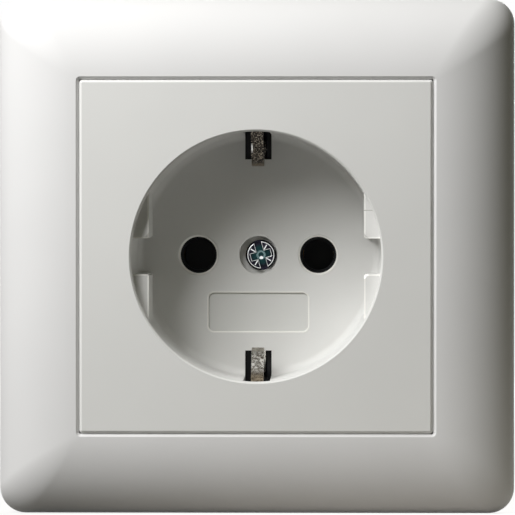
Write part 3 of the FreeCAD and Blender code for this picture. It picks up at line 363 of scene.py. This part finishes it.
def plastic(name, light, dark, roughness, depth=0.004, grain=GRAIN_SCALE, gloss=0.5):
    """A satin moulding between two near tones, with a fine mould grain."""
    finish, tree, shader = new_finish(name)
    effect = add_group(tree, grain_group, grain_scale=grain, drift_scale=DRIFT_SCALE)
    drift = map_range(tree, effect["Drift"], *DRIFT_RANGE)
    feed(tree, mix_colours(tree, drift, light, dark), shader.inputs["Base Color"])
    rough = map_range(tree, effect["Height"], *GRAIN_RANGE, roughness - ROUGH_SWING, roughness + ROUGH_SWING)
    feed(tree, rough, shader.inputs["Roughness"])
    shader.inputs["Specular IOR Level"].default_value = gloss
    add_bump(tree, shader, effect["Height"], depth)
    return finish


def metal(name, clean, dull, smooth, rough, patch=PATCH_SCALE, depth=0.004):
    """A plated or bare metal with dull patches and rubbed marks."""
    finish, tree, shader = new_finish(name)
    effect = add_group(tree, tarnish_group, patch_scale=patch, rub_scale=RUB_SCALE)
    feed(tree, mix_colours(tree, effect["Patches"], clean, dull), shader.inputs["Base Color"])
    feed(tree, map_range(tree, effect["Patches"], 0, 1, smooth, rough), shader.inputs["Roughness"])
    shader.inputs["Metallic"].default_value = 1.0
    add_bump(tree, shader, effect["Rubbed"], depth)
    return finish


finishes = {
    "frame_plastic": plastic("frame_plastic", (0.755, 0.75, 0.75), (0.735, 0.73, 0.73), 0.5, gloss=0.15),
    "plate_plastic": plastic("plate_plastic", (0.75, 0.748, 0.732), (0.73, 0.728, 0.712), 0.5, gloss=0.15),
    "black_plastic": plastic("black_plastic", (0.006, 0.006, 0.007), (0.012, 0.012, 0.014), 0.5, gloss=0.25),
    "cover_plastic": plastic(
        "cover_plastic", (0.045, 0.047, 0.05), (0.06, 0.062, 0.065), 0.5, grain=3000.0, depth=0.008
    ),
    "pusher_plastic": plastic("pusher_plastic", (0.72, 0.71, 0.66), (0.66, 0.65, 0.6), 0.45),
    "ring_steel": metal("ring_steel", (0.60, 0.61, 0.62), (0.46, 0.47, 0.48), 0.28, 0.42, patch=350.0),
    "zinc_steel": metal("zinc_steel", (0.62, 0.63, 0.65), (0.46, 0.46, 0.46), 0.25, 0.45),
    "spring_steel": metal("spring_steel", (0.55, 0.56, 0.57), (0.42, 0.43, 0.44), 0.2, 0.35, patch=1500.0),
    "nickel": metal("nickel", (0.62, 0.56, 0.47), (0.22, 0.17, 0.12), 0.22, 0.5, patch=1100.0),
    "brass": metal("brass", (0.75, 0.55, 0.25), (0.5, 0.34, 0.15), 0.25, 0.42),
}
print("finishes:", sorted(finishes))

# %% [markdown]
# ## The label recess
# The plate is one colour, with light and shade painted on its label recess. The shallow recess for a label has a pale
# rim that is a painted highlight, and a floor that is a little greyer, with a painted shadow along its upper left. All
# three come from the distance to a rounded box, which vector nodes work out: fold the plane into one quarter, take off
# the box without its corners, and measure what is left. The painted shadow is what lies outside the same box moved
# down and to the right.

# %% Mark the label recess
FLOOR_FACE = 7.9
LABEL_HALF, LABEL_CORNER, LABEL_DROP = (7.9, 3.05), 0.9, 9.07
SHADOW_SHIFT = (0.15, -0.18)
LABEL_FLOOR, LABEL_SHADOW, LABEL_RIM_HIGHLIGHT = (0.70, 0.70, 0.68), (0.42, 0.42, 0.38), (0.93, 0.92, 0.88)


def label_distance(tree, place, shift=(0.0, 0.0)):
    """Distance in metres to the recess's outline, negative inside it, with the recess shifted in millimetres."""
    centre = Vector((shift[0], 0, shift[1] - LABEL_DROP)) * MM
    half = Vector((LABEL_HALF[0] - LABEL_CORNER, 0, LABEL_HALF[1] - LABEL_CORNER)) * MM
    flat = vector_maths(tree, "MULTIPLY", place, (1, 0, 1))
    folded = vector_maths(tree, "ABSOLUTE", vector_maths(tree, "SUBTRACT", flat, centre))
    beyond = vector_maths(tree, "MAXIMUM", vector_maths(tree, "SUBTRACT", folded, half), (0, 0, 0))
    return maths(tree, "SUBTRACT", vector_maths(tree, "LENGTH", beyond), LABEL_CORNER * MM)


def tint_over(tree, mask, colour):
    """Lay one more colour over what already feeds a material's base colour."""
    base = tree.nodes["Principled BSDF"].inputs["Base Color"]
    feed(tree, mix_colours(tree, mask, base.links[0].from_socket, colour), base)


plate_tree = finishes["plate_plastic"].node_tree
plate_place = object_place(plate_tree)
plate_parts = split_parts(plate_tree, plate_place)
near_floor = ramp(plate_tree, plate_parts["Y"], FLOOR_FACE - 0.3, FLOOR_FACE - 0.1)
outline = label_distance(plate_tree, plate_place)
inside = multiply(plate_tree, near_floor, ramp(plate_tree, outline, 0.0, -0.05))
tint_over(plate_tree, inside, LABEL_FLOOR)
# A painted shadow inside the recess along its upper left, where its wall shades the floor.
painted_shadow = ramp(plate_tree, label_distance(plate_tree, plate_place, SHADOW_SHIFT), -0.12, 0.12)
tint_over(plate_tree, multiply(plate_tree, inside, painted_shadow), LABEL_SHADOW)
# A painted highlight along the recess's rim.
rim = multiply(plate_tree, ramp(plate_tree, outline, 0.3, 0.12), ramp(plate_tree, outline, -0.05, 0.05))
tint_over(plate_tree, multiply(plate_tree, near_floor, rim), LABEL_RIM_HIGHLIGHT)
print("recess marked, outline nodes:", len(plate_tree.nodes))

# %% [markdown]
# ## Guides and pin holes
# Plugs rub the plate where it guides them: the front edges of the side guides and the rims of the pin holes are
# paler than the rest. Both are thin bands on Object coordinates, and one formula serves both sides because it
# starts from the size of X and Z without their signs. A fine witness line crosses the upper right guide, where two
# mould halves met.

# %% Mark the guides and the pin holes
GUIDE_HALF, GUIDE_GAP, GUIDE_FRONT = 16.8, 2.8, -6.6
PIN_X, PIN_RADIUS = 9.5, 2.9
LINE_OFF, LINE_HALF = 0.12, 0.16
GREY_LINE_Z, GREY_LINE_HALF = 7.2, 0.08
GUIDE_EDGE_HIGHLIGHT, PIN_RIM_HIGHLIGHT, GREY_LINE = (0.95, 0.94, 0.91), (0.92, 0.91, 0.87), (0.45, 0.45, 0.42)

across = maths(plate_tree, "ABSOLUTE", plate_parts["X"])
up = maths(plate_tree, "ABSOLUTE", plate_parts["Z"])
at_front = band(plate_tree, plate_parts["Y"], GUIDE_FRONT + 0.2, 0.9)
beyond_gap = ramp(plate_tree, up, GUIDE_GAP - 0.1, GUIDE_GAP)
beside_well = ramp(plate_tree, across, GUIDE_HALF - 0.1, GUIDE_HALF)
upright_line = band(plate_tree, across, GUIDE_HALF + LINE_OFF, LINE_HALF)
level_line = band(plate_tree, up, GUIDE_GAP + LINE_OFF, LINE_HALF)
# Painted highlights along the front edges of the guides.
tint_over(plate_tree, multiply(plate_tree, at_front, beyond_gap, upright_line), GUIDE_EDGE_HIGHLIGHT)
tint_over(plate_tree, multiply(plate_tree, at_front, beside_well, level_line), GUIDE_EDGE_HIGHLIGHT)

on_right = ramp(plate_tree, plate_parts["X"], 0.0, 1.0)
grey_line = band(plate_tree, plate_parts["Z"], GREY_LINE_Z, GREY_LINE_HALF)
tint_over(plate_tree, multiply(plate_tree, at_front, beside_well, on_right, grey_line), GREY_LINE)

folded = plate_tree.nodes.new("ShaderNodeCombineXYZ")
feed(plate_tree, across, folded.inputs["X"])
feed(plate_tree, plate_parts["Z"], folded.inputs["Z"])
from_pin = vector_maths(plate_tree, "DISTANCE", folded.outputs["Vector"], (PIN_X * MM, 0, 0))
# A painted highlight round the rims of the pin holes.
tint_over(plate_tree, multiply(plate_tree, near_floor, band(plate_tree, from_pin, PIN_RADIUS + 0.1, 0.2)), PIN_RIM_HIGHLIGHT)
print("plate marked, nodes:", len(plate_tree.nodes))

# %% [markdown]
# ## Tools for new pieces
# What the camera sees best gets a mesh of its own that stands for its CAD node. Every new piece ends the same way:
# its faces are turned outwards, it is shaded smooth except across sharp edges, it rides on a body, it takes the
# finish of its node's slot, and the CAD node it stands for is hidden. A piece that only needs softer edges starts from
# a copy of the CAD mesh. That mesh is loose triangles, so the copy is welded, and flat neighbours are joined to one
# face, before its edges are rounded.

# %% Write the tools
SHARP = math.radians(32)
FLAT = math.radians(0.5)
WELD = 0.0005 * MM
slots = {part["node"]: part["material_slot"] for part in frame["record"]["subparts"]}


def finish_piece(bm, name, node):
    """Turn a bmesh into a piece that stands for a CAD node."""
    bmesh.ops.recalc_face_normals(bm, faces=bm.faces)
    for edge in bm.edges:
        edge.smooth = edge.calc_face_angle(0) < SHARP
    for face in bm.faces:
        face.smooth = True
    loose = sum(not edge.is_manifold for edge in bm.edges)
    mesh = bpy.data.meshes.new(name)
    bm.to_mesh(mesh)
    bm.free()
    mesh.materials.append(finishes[slots[node]])
    piece = bpy.data.objects.new(name, mesh)
    scene.collection.objects.link(piece)
    even = piece.modifiers.new("even_shading", "WEIGHTED_NORMAL")
    even.keep_sharp = True
    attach(piece, "socket")
    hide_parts(node)
    print(name, "faces:", len(mesh.polygons), "open edges:", loose)
    return piece


def copy_node(node):
    """A welded copy of a CAD node's mesh, with flat neighbours joined."""
    bm = bmesh.new()
    bm.from_mesh(nodes[node].data)
    bmesh.ops.remove_doubles(bm, verts=bm.verts, dist=WELD)
    bmesh.ops.dissolve_limit(bm, angle_limit=FLAT, verts=bm.verts, edges=bm.edges)
    return bm


def round_edges(bm, radius, segments, wanted=lambda middle: True):
    """Round the sharp edges whose middle, in millimetres, is wanted, and give back the new faces."""
    edges = []
    for edge in bm.edges:
        middle = (edge.verts[0].co + edge.verts[1].co) / 2 / MM
        if edge.calc_face_angle(0) > SHARP and wanted(middle):
            edges.append(edge)
    made = bmesh.ops.bevel(
        bm, geom=edges, offset=radius * MM, segments=segments, profile=0.5, affect="EDGES", clamp_overlap=True,
        material=-1,
    )
    return made["faces"]


print("slots:", sorted(set(slots.values())))

# %% [markdown]
# ## Cover frame
# The real frame is one moulding: a soft cushion that rises from a low skirt and ends in a narrow lip round the
# plate. A subdivision surface would round its square opening too, so it is bridged from loops instead. Each loop
# is a square with round corners at one depth, made from a one-face grid whose four corners are bevelled. The loops
# go up the outside, over the lip, down the collar and back under the cushion to where they began. Each band
# gets two loops of its own and is welded to its neighbours at the end, because a bridge that starts from the rim of
# another band may run the wrong way round.

# %% Bridge the frame from loops
CORNER_STEPS, CUSHION_STEPS, LIP_STEPS = 14, 26, 2
OPENING, OPENING_CORNER = 27.6, 0.25
OUTSIDE, OUTSIDE_CORNER, CORNER_SWELL = 40.35, 4.0, 1.0
SKIRT, RISE, WALL, LAND, LIP = 2.0, 9.6, 1.8, 0.55, 0.45
COLLAR, COLLAR_BACK = 1.4, -3.6


def square_loop(bm, half, corner, depth):
    """A loop of edges round a square with round corners, at one depth, in millimetres."""
    old_edges, old_faces = set(bm.edges), set(bm.faces)
    corners = bmesh.ops.create_grid(bm, x_segments=1, y_segments=1, size=half * MM)["verts"]
    bmesh.ops.bevel(
        bm, geom=corners, offset=corner * MM, segments=CORNER_STEPS, profile=0.5, affect="VERTICES", material=-1
    )
    bmesh.ops.delete(bm, geom=[face for face in bm.faces if face not in old_faces], context="FACES_ONLY")
    loop = [edge for edge in bm.edges if edge not in old_edges]
    verts = list({vert for edge in loop for vert in edge.verts})
    bmesh.ops.rotate(bm, verts=verts, cent=(0, 0, 0), matrix=Matrix.Rotation(math.pi / 2, 3, "X"))
    bmesh.ops.translate(bm, verts=verts, vec=(0, depth * MM, 0))
    return loop


def cushion(inset):
    """Half side, corner and depth of each level of the cushion, from the skirt up."""
    wide = OUTSIDE - OPENING - inset
    last = math.acos(LAND / wide)
    levels = []
    for step in range(CUSHION_STEPS + 1):
        angle = last * step / CUSHION_STEPS
        share = math.cos(angle)
        corner = OPENING_CORNER + (OUTSIDE_CORNER - inset - OPENING_CORNER) * share
        corner += CORNER_SWELL * math.sin(2 * angle)
        depth = -SKIRT - (RISE - SKIRT - inset) * math.sin(angle) / math.sin(last)
        levels.append((OPENING + wide * share, corner, depth))
    return levels


levels = [(OUTSIDE, OUTSIDE_CORNER, 0.0), *cushion(0.0)]
for step in range(LIP_STEPS + 1):
    in_by = LIP * step / LIP_STEPS
    levels.append((OPENING + LIP - in_by, OPENING_CORNER + LIP - in_by, in_by - RISE))
levels.append((OPENING, OPENING_CORNER, COLLAR_BACK))
levels.append((OPENING + COLLAR, OPENING_CORNER + COLLAR, COLLAR_BACK))
under = [level for level in reversed(cushion(WALL)) if level[0] > OPENING + COLLAR]
levels.append((OPENING + COLLAR, OPENING_CORNER + COLLAR, under[0][2]))
levels += [*under, (OUTSIDE - WALL, OUTSIDE_CORNER - WALL, 0.0)]

frame_mesh = bmesh.new()
for first, second in zip(levels, [*levels[1:], levels[0]]):
    bmesh.ops.bridge_loops(frame_mesh, edges=square_loop(frame_mesh, *first) + square_loop(frame_mesh, *second))
bmesh.ops.remove_doubles(frame_mesh, verts=frame_mesh.verts, dist=WELD)
print("frame levels:", len(levels))

# %% [markdown]
# ## Lugs of the frame
# Behind its lip the frame has four lugs with ledges. The centre plate presses on the ledges when its screw is
# tightened, and so clamps the frame to the wall. Nothing of them shows from the front, so plain blocks with softened
# edges do. They join the frame's bmesh, because on the real frame they are part of the same moulding.

# %% Add the lugs
LUG_NEAR, LUG_FAR, LUG_BACK = 9.0, 21.0, -1.0
LEDGE_WIDE, LEDGE_FRONT = 2.0, -3.2
BLOCK_EDGE = 0.15


def add_block(bm, low, high):
    """A block between two corners in millimetres, with softened edges."""
    made = bmesh.ops.create_cube(bm, size=1.0)["verts"]
    low, high = Vector(low) * MM, Vector(high) * MM
    bmesh.ops.scale(bm, verts=made, vec=high - low)
    bmesh.ops.translate(bm, verts=made, vec=(high + low) / 2)
    edges = list(dict.fromkeys(edge for vert in made for edge in vert.link_edges))
    bmesh.ops.bevel(bm, geom=edges, offset=BLOCK_EDGE * MM, segments=2, profile=0.5, affect="EDGES", material=-1)


lug = (OPENING, OPENING + COLLAR, COLLAR_BACK)
ledge = (OPENING - LEDGE_WIDE, OPENING + COLLAR / 2, LEDGE_FRONT)
for side in (-1, 1):
    left, right = sorted((side * LUG_NEAR, side * LUG_FAR))
    for end in (-1, 1):
        for inner, outer, front in (lug, ledge):
            bottom, top = sorted((end * inner, end * outer))
            add_block(frame_mesh, (left, front, bottom), (right, LUG_BACK, top))
finish_piece(frame_mesh, "frame_cushion", "cover_frame")

# %% [markdown]
# ## Pressing marks into a flat
# Screw heads have drives and marks that are pressed into a flat. A boolean would do, but it leaves thin slivers on
# a flat that is one big face. Planes are tidier: they draw the shape's outline on the flat, the faces inside it are
# extruded into the head, and the faces they left behind are deleted.

# %% Write the press
LEVEL_SLACK = 0.002


def press_in(bm, axis, planes, near, inside, deep):
    """Draw planes on the flat at an axis and push in the faces inside a shape.

    A plane is a direction and its distance from the axis. `near` and `inside` say of a face's middle, seen from the
    axis, whether the planes cut that face and whether it is pushed in. All in millimetres.
    """
    def flats(wanted):
        return [
            face for face in bm.faces
            if all(abs(vert.co.y / MM - axis.y) < LEVEL_SLACK for vert in face.verts)
            and wanted(face.calc_center_median() / MM - axis)
        ]

    for direction, offset in planes:
        parts = [part for face in flats(near) for part in (face, *face.edges, *face.verts)]
        bmesh.ops.bisect_plane(
            bm, geom=list(dict.fromkeys(parts)), dist=WELD, plane_co=(axis + direction * offset) * MM,
            plane_no=direction,
        )
    chosen = flats(inside)
    moved = bmesh.ops.extrude_face_region(bm, geom=chosen)["geom"]
    bmesh.ops.delete(bm, geom=chosen, context="FACES_KEEP_BOUNDARY")
    verts = [item for item in moved if isinstance(item, bmesh.types.BMVert)]
    bmesh.ops.translate(bm, verts=verts, vec=(0, deep * MM, 0))
    return [item for item in moved if isinstance(item, bmesh.types.BMFace)]


print("press ready")

# %% [markdown]
# ## Centre screw
# The screw that clamps the plate has a combined drive, a slot with a cross. The CAD solid has both, so the piece is
# a copy of it. Its edges are rounded, because it is the polished edges that catch the light on a plated screw, and
# four fine marks are pressed between the arms of the drive. Edges and marks get a bright metal of their own by their
# material index, a painted highlight. The screw is turned on its own axis to the angle at which the real one was left.

# %% Copy, mark and turn the screw
SCREW_X, SCREW_TURN = 0.4, 15.0
HEAD_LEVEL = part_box("centre_screw")[0].y / MM
HEAD_EDGE, HEAD_SLACK = 0.08, 0.03
MARK_NEAR, MARK_FAR, MARK_HALF, MARK_DEEP = 1.0, 1.85, 0.085, 0.1

bm = copy_node("centre_screw")
screw_axis = Vector((SCREW_X, HEAD_LEVEL, 0))
bright_faces = list(round_edges(bm, HEAD_EDGE, 3, lambda middle: abs(middle.y - HEAD_LEVEL) < HEAD_SLACK))
# Index 1 is the bright metal, a painted highlight.
for face in bright_faces:
    face.material_index = 1
for degrees in (45, 135, 225, 315):
    turn = math.radians(degrees)
    along = Vector((math.cos(turn), 0, math.sin(turn)))
    aside = Vector((-math.sin(turn), 0, math.cos(turn)))
    planes = ((along, MARK_NEAR), (along, MARK_FAR), (aside, -MARK_HALF), (aside, MARK_HALF))
    pressed = press_in(
        bm, screw_axis, planes,
        lambda off: off.dot(along) > 0,
        lambda off: MARK_NEAR < off.dot(along) < MARK_FAR and abs(off.dot(aside)) < MARK_HALF,
        MARK_DEEP,
    )
    for face in pressed:
        face.material_index = 1
turned = Matrix.Rotation(-math.radians(SCREW_TURN), 3, "Y")
bmesh.ops.rotate(bm, verts=bm.verts, cent=screw_axis * MM, matrix=turned)
screw = finish_piece(bm, "screw_head", "centre_screw")

# %% [markdown]
# ## Finish of the screw
# In the photograph the head is nearly black with bright edges: its zinc is smooth, so the flats mirror the dark room
# behind the camera, and only the rounded edges mirror the lamp. The studio here has no dark room, so the flats get a
# dark metal, a painted dark reflection, and the edges a bright one, a painted highlight. The sunk drive has a teal
# tint that is a painted reflection, and its dimple a painted pale highlight ring and one painted glint.

# %% Give the screw its two metals
DRIVE_DEEP, DRIVE_FADE = 0.9, (1.75, 1.25)
DIMPLE_RADIUS, DIMPLE_LINE = 0.66, 0.09
GLINT_PLACE = Vector((SCREW_X + 0.05, HEAD_LEVEL + DRIVE_DEEP + 0.3, -0.5)) * MM
GLINT_FADE = (0.36, 0.26)
TEAL_REFLECTION, DIMPLE_HIGHLIGHT, GLINT_WHITE = (0.012, 0.036, 0.038), (0.2, 0.3, 0.3), (0.95, 0.97, 0.97)

# The dark metal of the flats is a painted dark reflection.
dark_zinc = metal("dark_zinc", (0.022, 0.02, 0.032), (0.008, 0.008, 0.012), 0.25, 0.45, patch=1600.0)
# The bright metal of edges and marks is a painted highlight of the lamp.
edge_highlight_zinc = metal("edge_highlight_zinc", (0.97, 0.98, 0.97), (0.75, 0.78, 0.78), 0.3, 0.4, patch=2600.0, depth=0.0005)
tree = dark_zinc.node_tree
place = object_place(tree)
parts = split_parts(tree, place)
sunk = ramp(tree, parts["Y"], HEAD_LEVEL + 0.2, HEAD_LEVEL + 0.5)
from_drive = vector_maths(tree, "DISTANCE", place, Vector((SCREW_X, HEAD_LEVEL + DRIVE_DEEP, 0)) * MM)
from_glint = vector_maths(tree, "DISTANCE", place, GLINT_PLACE)
# A painted teal reflection in the drive, a painted highlight ring at the dimple and one painted glint.
tint_over(tree, multiply(tree, sunk, ramp(tree, from_drive, *DRIVE_FADE)), TEAL_REFLECTION)
tint_over(tree, multiply(tree, sunk, band(tree, from_drive, DIMPLE_RADIUS, DIMPLE_LINE)), DIMPLE_HIGHLIGHT)
tint_over(tree, ramp(tree, from_glint, *GLINT_FADE), GLINT_WHITE)
screw.data.materials[0] = dark_zinc
screw.data.materials.append(edge_highlight_zinc)
print("screw finishes:", [finish.name for finish in screw.data.materials])

# %% [markdown]
# ## Centre plate
# The plate carries the whole well, and its CAD mesh already has every bevel of the moulding. Its own piece is a copy
# in which only the seat round the screw comes forward a little, because on the real one the countersink is shallow
# and catches light.

# %% Copy the plate and lift the screw's seat
SEAT_LEVEL, SEAT_RADIUS, SEAT_LIFT = 10.1, 3.1, 0.85

bm = copy_node("centre_plate")
seat = [
    vert for vert in bm.verts
    if abs(vert.co.y / MM - SEAT_LEVEL) < LEVEL_SLACK and math.hypot(vert.co.x, vert.co.z) < SEAT_RADIUS * MM
]
bmesh.ops.translate(bm, verts=seat, vec=(0, -SEAT_LIFT * MM, 0))
print("lifted corners:", len(seat))
finish_piece(bm, "moulded_plate", "centre_plate")

# %% [markdown]
# ## Earth bows
# The earth strap is stamped from sheet and bent, so every edge of it is a little rolled. The CAD strip has square
# edges, and square edges don't glint. The piece is a copy of the CAD node with its long edges rounded.

# %% Round the strap's edges
STRAP_EDGE = 0.22

bm = copy_node("earth_strap")
print("rounded faces:", len(round_edges(bm, STRAP_EDGE, 3)))
strap = finish_piece(bm, "sprung_strap", "earth_strap")

# %% [markdown]
# ## Finish of the bows
# The two bows show light differently. The upper one is painted dark with shade and dark reflection, in speckles that
# also follow its mottled metal, with one short painted glint and a tan tip that is a painted reflection of the floor,
# and the lower one has a painted highlight where it faces up and is tan below. One metal serves both: each mark is a
# range of heights, multiplied with noise where its border is ragged.

# %% Paint light and shade on the bows
SPECK_SCALE, SPECK_RANGE = 5200.0, (0.59, 0.52)
RAGGED_SCALE, RAGGED_RANGE = 2600.0, (0.38, 0.48)
UPPER_FADE, ABOVE_MIDDLE, TIP_FADE = (13.9, 14.6), (0.0, 1.0), (14.7, 14.2)
HIGHLIGHT_TOP, HIGHLIGHT_END, TAN_FADE = (-14.6, -15.4), (-18.4, -17.4), (-18.3, -18.9)
GLINT_X, GLINT_Z = (-0.76, 0.16), (16.9, 0.8)
SHADE_SPECKS, LOWER_HIGHLIGHT, GLINT = (0.014, 0.012, 0.012), (0.95, 0.93, 0.88), (0.97, 0.97, 0.97)
TIP_REFLECTION, LOW_TAN = (0.30, 0.24, 0.17), (0.36, 0.30, 0.22)

bow_nickel = metal("bow_nickel", (0.50, 0.45, 0.37), (0.10, 0.085, 0.065), 0.22, 0.45, patch=2200.0)
tree = bow_nickel.node_tree
place = object_place(tree)
parts = split_parts(tree, place)
height = parts["Z"]
speckled = map_range(tree, add_noise(tree, place, SPECK_SCALE, 3, 0.6), *SPECK_RANGE)
ragged = map_range(tree, add_noise(tree, place, RAGGED_SCALE, 3, 0.6), *RAGGED_RANGE)
lower_highlight = multiply(tree, ramp(tree, height, *HIGHLIGHT_TOP), ramp(tree, height, *HIGHLIGHT_END), ragged)
tip = multiply(tree, ramp(tree, height, *TIP_FADE), ramp(tree, height, *ABOVE_MIDDLE))
# Painted shade and dark reflection on the upper bow, in speckles that follow its mottled metal.
tint_over(tree, multiply(tree, ramp(tree, height, *UPPER_FADE), speckled), SHADE_SPECKS)
# A painted highlight on the lower bow where it faces up.
tint_over(tree, lower_highlight, LOWER_HIGHLIGHT)
# A painted glint along the upper bow.
tint_over(tree, multiply(tree, band(tree, parts["X"], *GLINT_X), band(tree, height, *GLINT_Z)), GLINT)
# The tan tip is a painted reflection of the floor.
tint_over(tree, tip, TIP_REFLECTION)
tint_over(tree, ramp(tree, height, *TAN_FADE), LOW_TAN)
strap.data.materials[0] = bow_nickel
print("bow nodes:", len(tree.nodes))

# %% [markdown]
# ## Claw screws
# Two claws grip the wall box, and their screws are threaded from end to end. A thread can be swept as a helix, but
# at this size rings look the same and stay closed: planes draw rings round the shank, and every second ring is
# pulled in.

# %% Thread the claw screws
PITCH, THREAD_ROOT = 0.7, 0.82
THREAD_START, THREAD_END = 0.3, 17.6

rings = round((THREAD_END - THREAD_START) / PITCH * 2) + 1
levels = [THREAD_START + PITCH / 2 * step for step in range(rings)]
for word in ("left", "right"):
    node = f"{word}_claw_screw"
    bm = copy_node(node)
    for level in levels:
        bmesh.ops.bisect_plane(
            bm, geom=[*bm.verts, *bm.edges, *bm.faces], dist=WELD, plane_co=(0, level * MM, 0), plane_no=(0, 1, 0)
        )
    roots = [vert for vert in bm.verts if any(abs(vert.co.y / MM - level) < 0.01 for level in levels[1::2])]
    low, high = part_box(node)
    to_axis = Matrix.Translation((-(low.x + high.x) / 2, 0, 0))
    bmesh.ops.scale(bm, verts=roots, vec=(THREAD_ROOT, 1, THREAD_ROOT), space=to_axis)
    finish_piece(bm, f"{word}_claw_thread", node)

# %% [markdown]
# ## Cover screws
# Four screws with plain flat heads hold the rear cover, and a screw needs a drive. The press that marked the centre
# screw presses a cross into each head, this time from behind, so it pushes the other way.

# %% Cross the cover screws
COVER_SCREW_X, COVER_SCREW_Z, COVER_HEAD_REACH = 17.0, 18.0, 2.5
CROSS_REACH, CROSS_HALF, CROSS_DEEP = 1.05, 0.225, 0.5

bm = copy_node("cover_screws")
head_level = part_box("cover_screws")[1].y / MM
planes = [
    (Vector(direction), offset)
    for direction in ((1, 0, 0), (0, 0, 1)) for offset in (-CROSS_REACH, -CROSS_HALF, CROSS_HALF, CROSS_REACH)
]
for side in (-1, 1):
    for end in (-1, 1):
        pressed = press_in(
            bm, Vector((side * COVER_SCREW_X, head_level, end * COVER_SCREW_Z)), planes,
            lambda off: off.length < COVER_HEAD_REACH,
            lambda off: min(abs(off.x), abs(off.z)) < CROSS_HALF and max(abs(off.x), abs(off.z)) < CROSS_REACH,
            -CROSS_DEEP,
        )
        print("cross faces:", len(pressed))
finish_piece(bm, "crossed_screws", "cover_screws")

# %% [markdown]
# ## Dress the CAD nodes
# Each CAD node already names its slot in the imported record, so one loop gives every node its finish.
# The meshes themselves stay as they are.

# %% Give each node its finish
for name, node in nodes.items():
    node.data.materials.clear()
    node.data.materials.append(finishes[slots[name]])
print("dressed:", len(nodes))
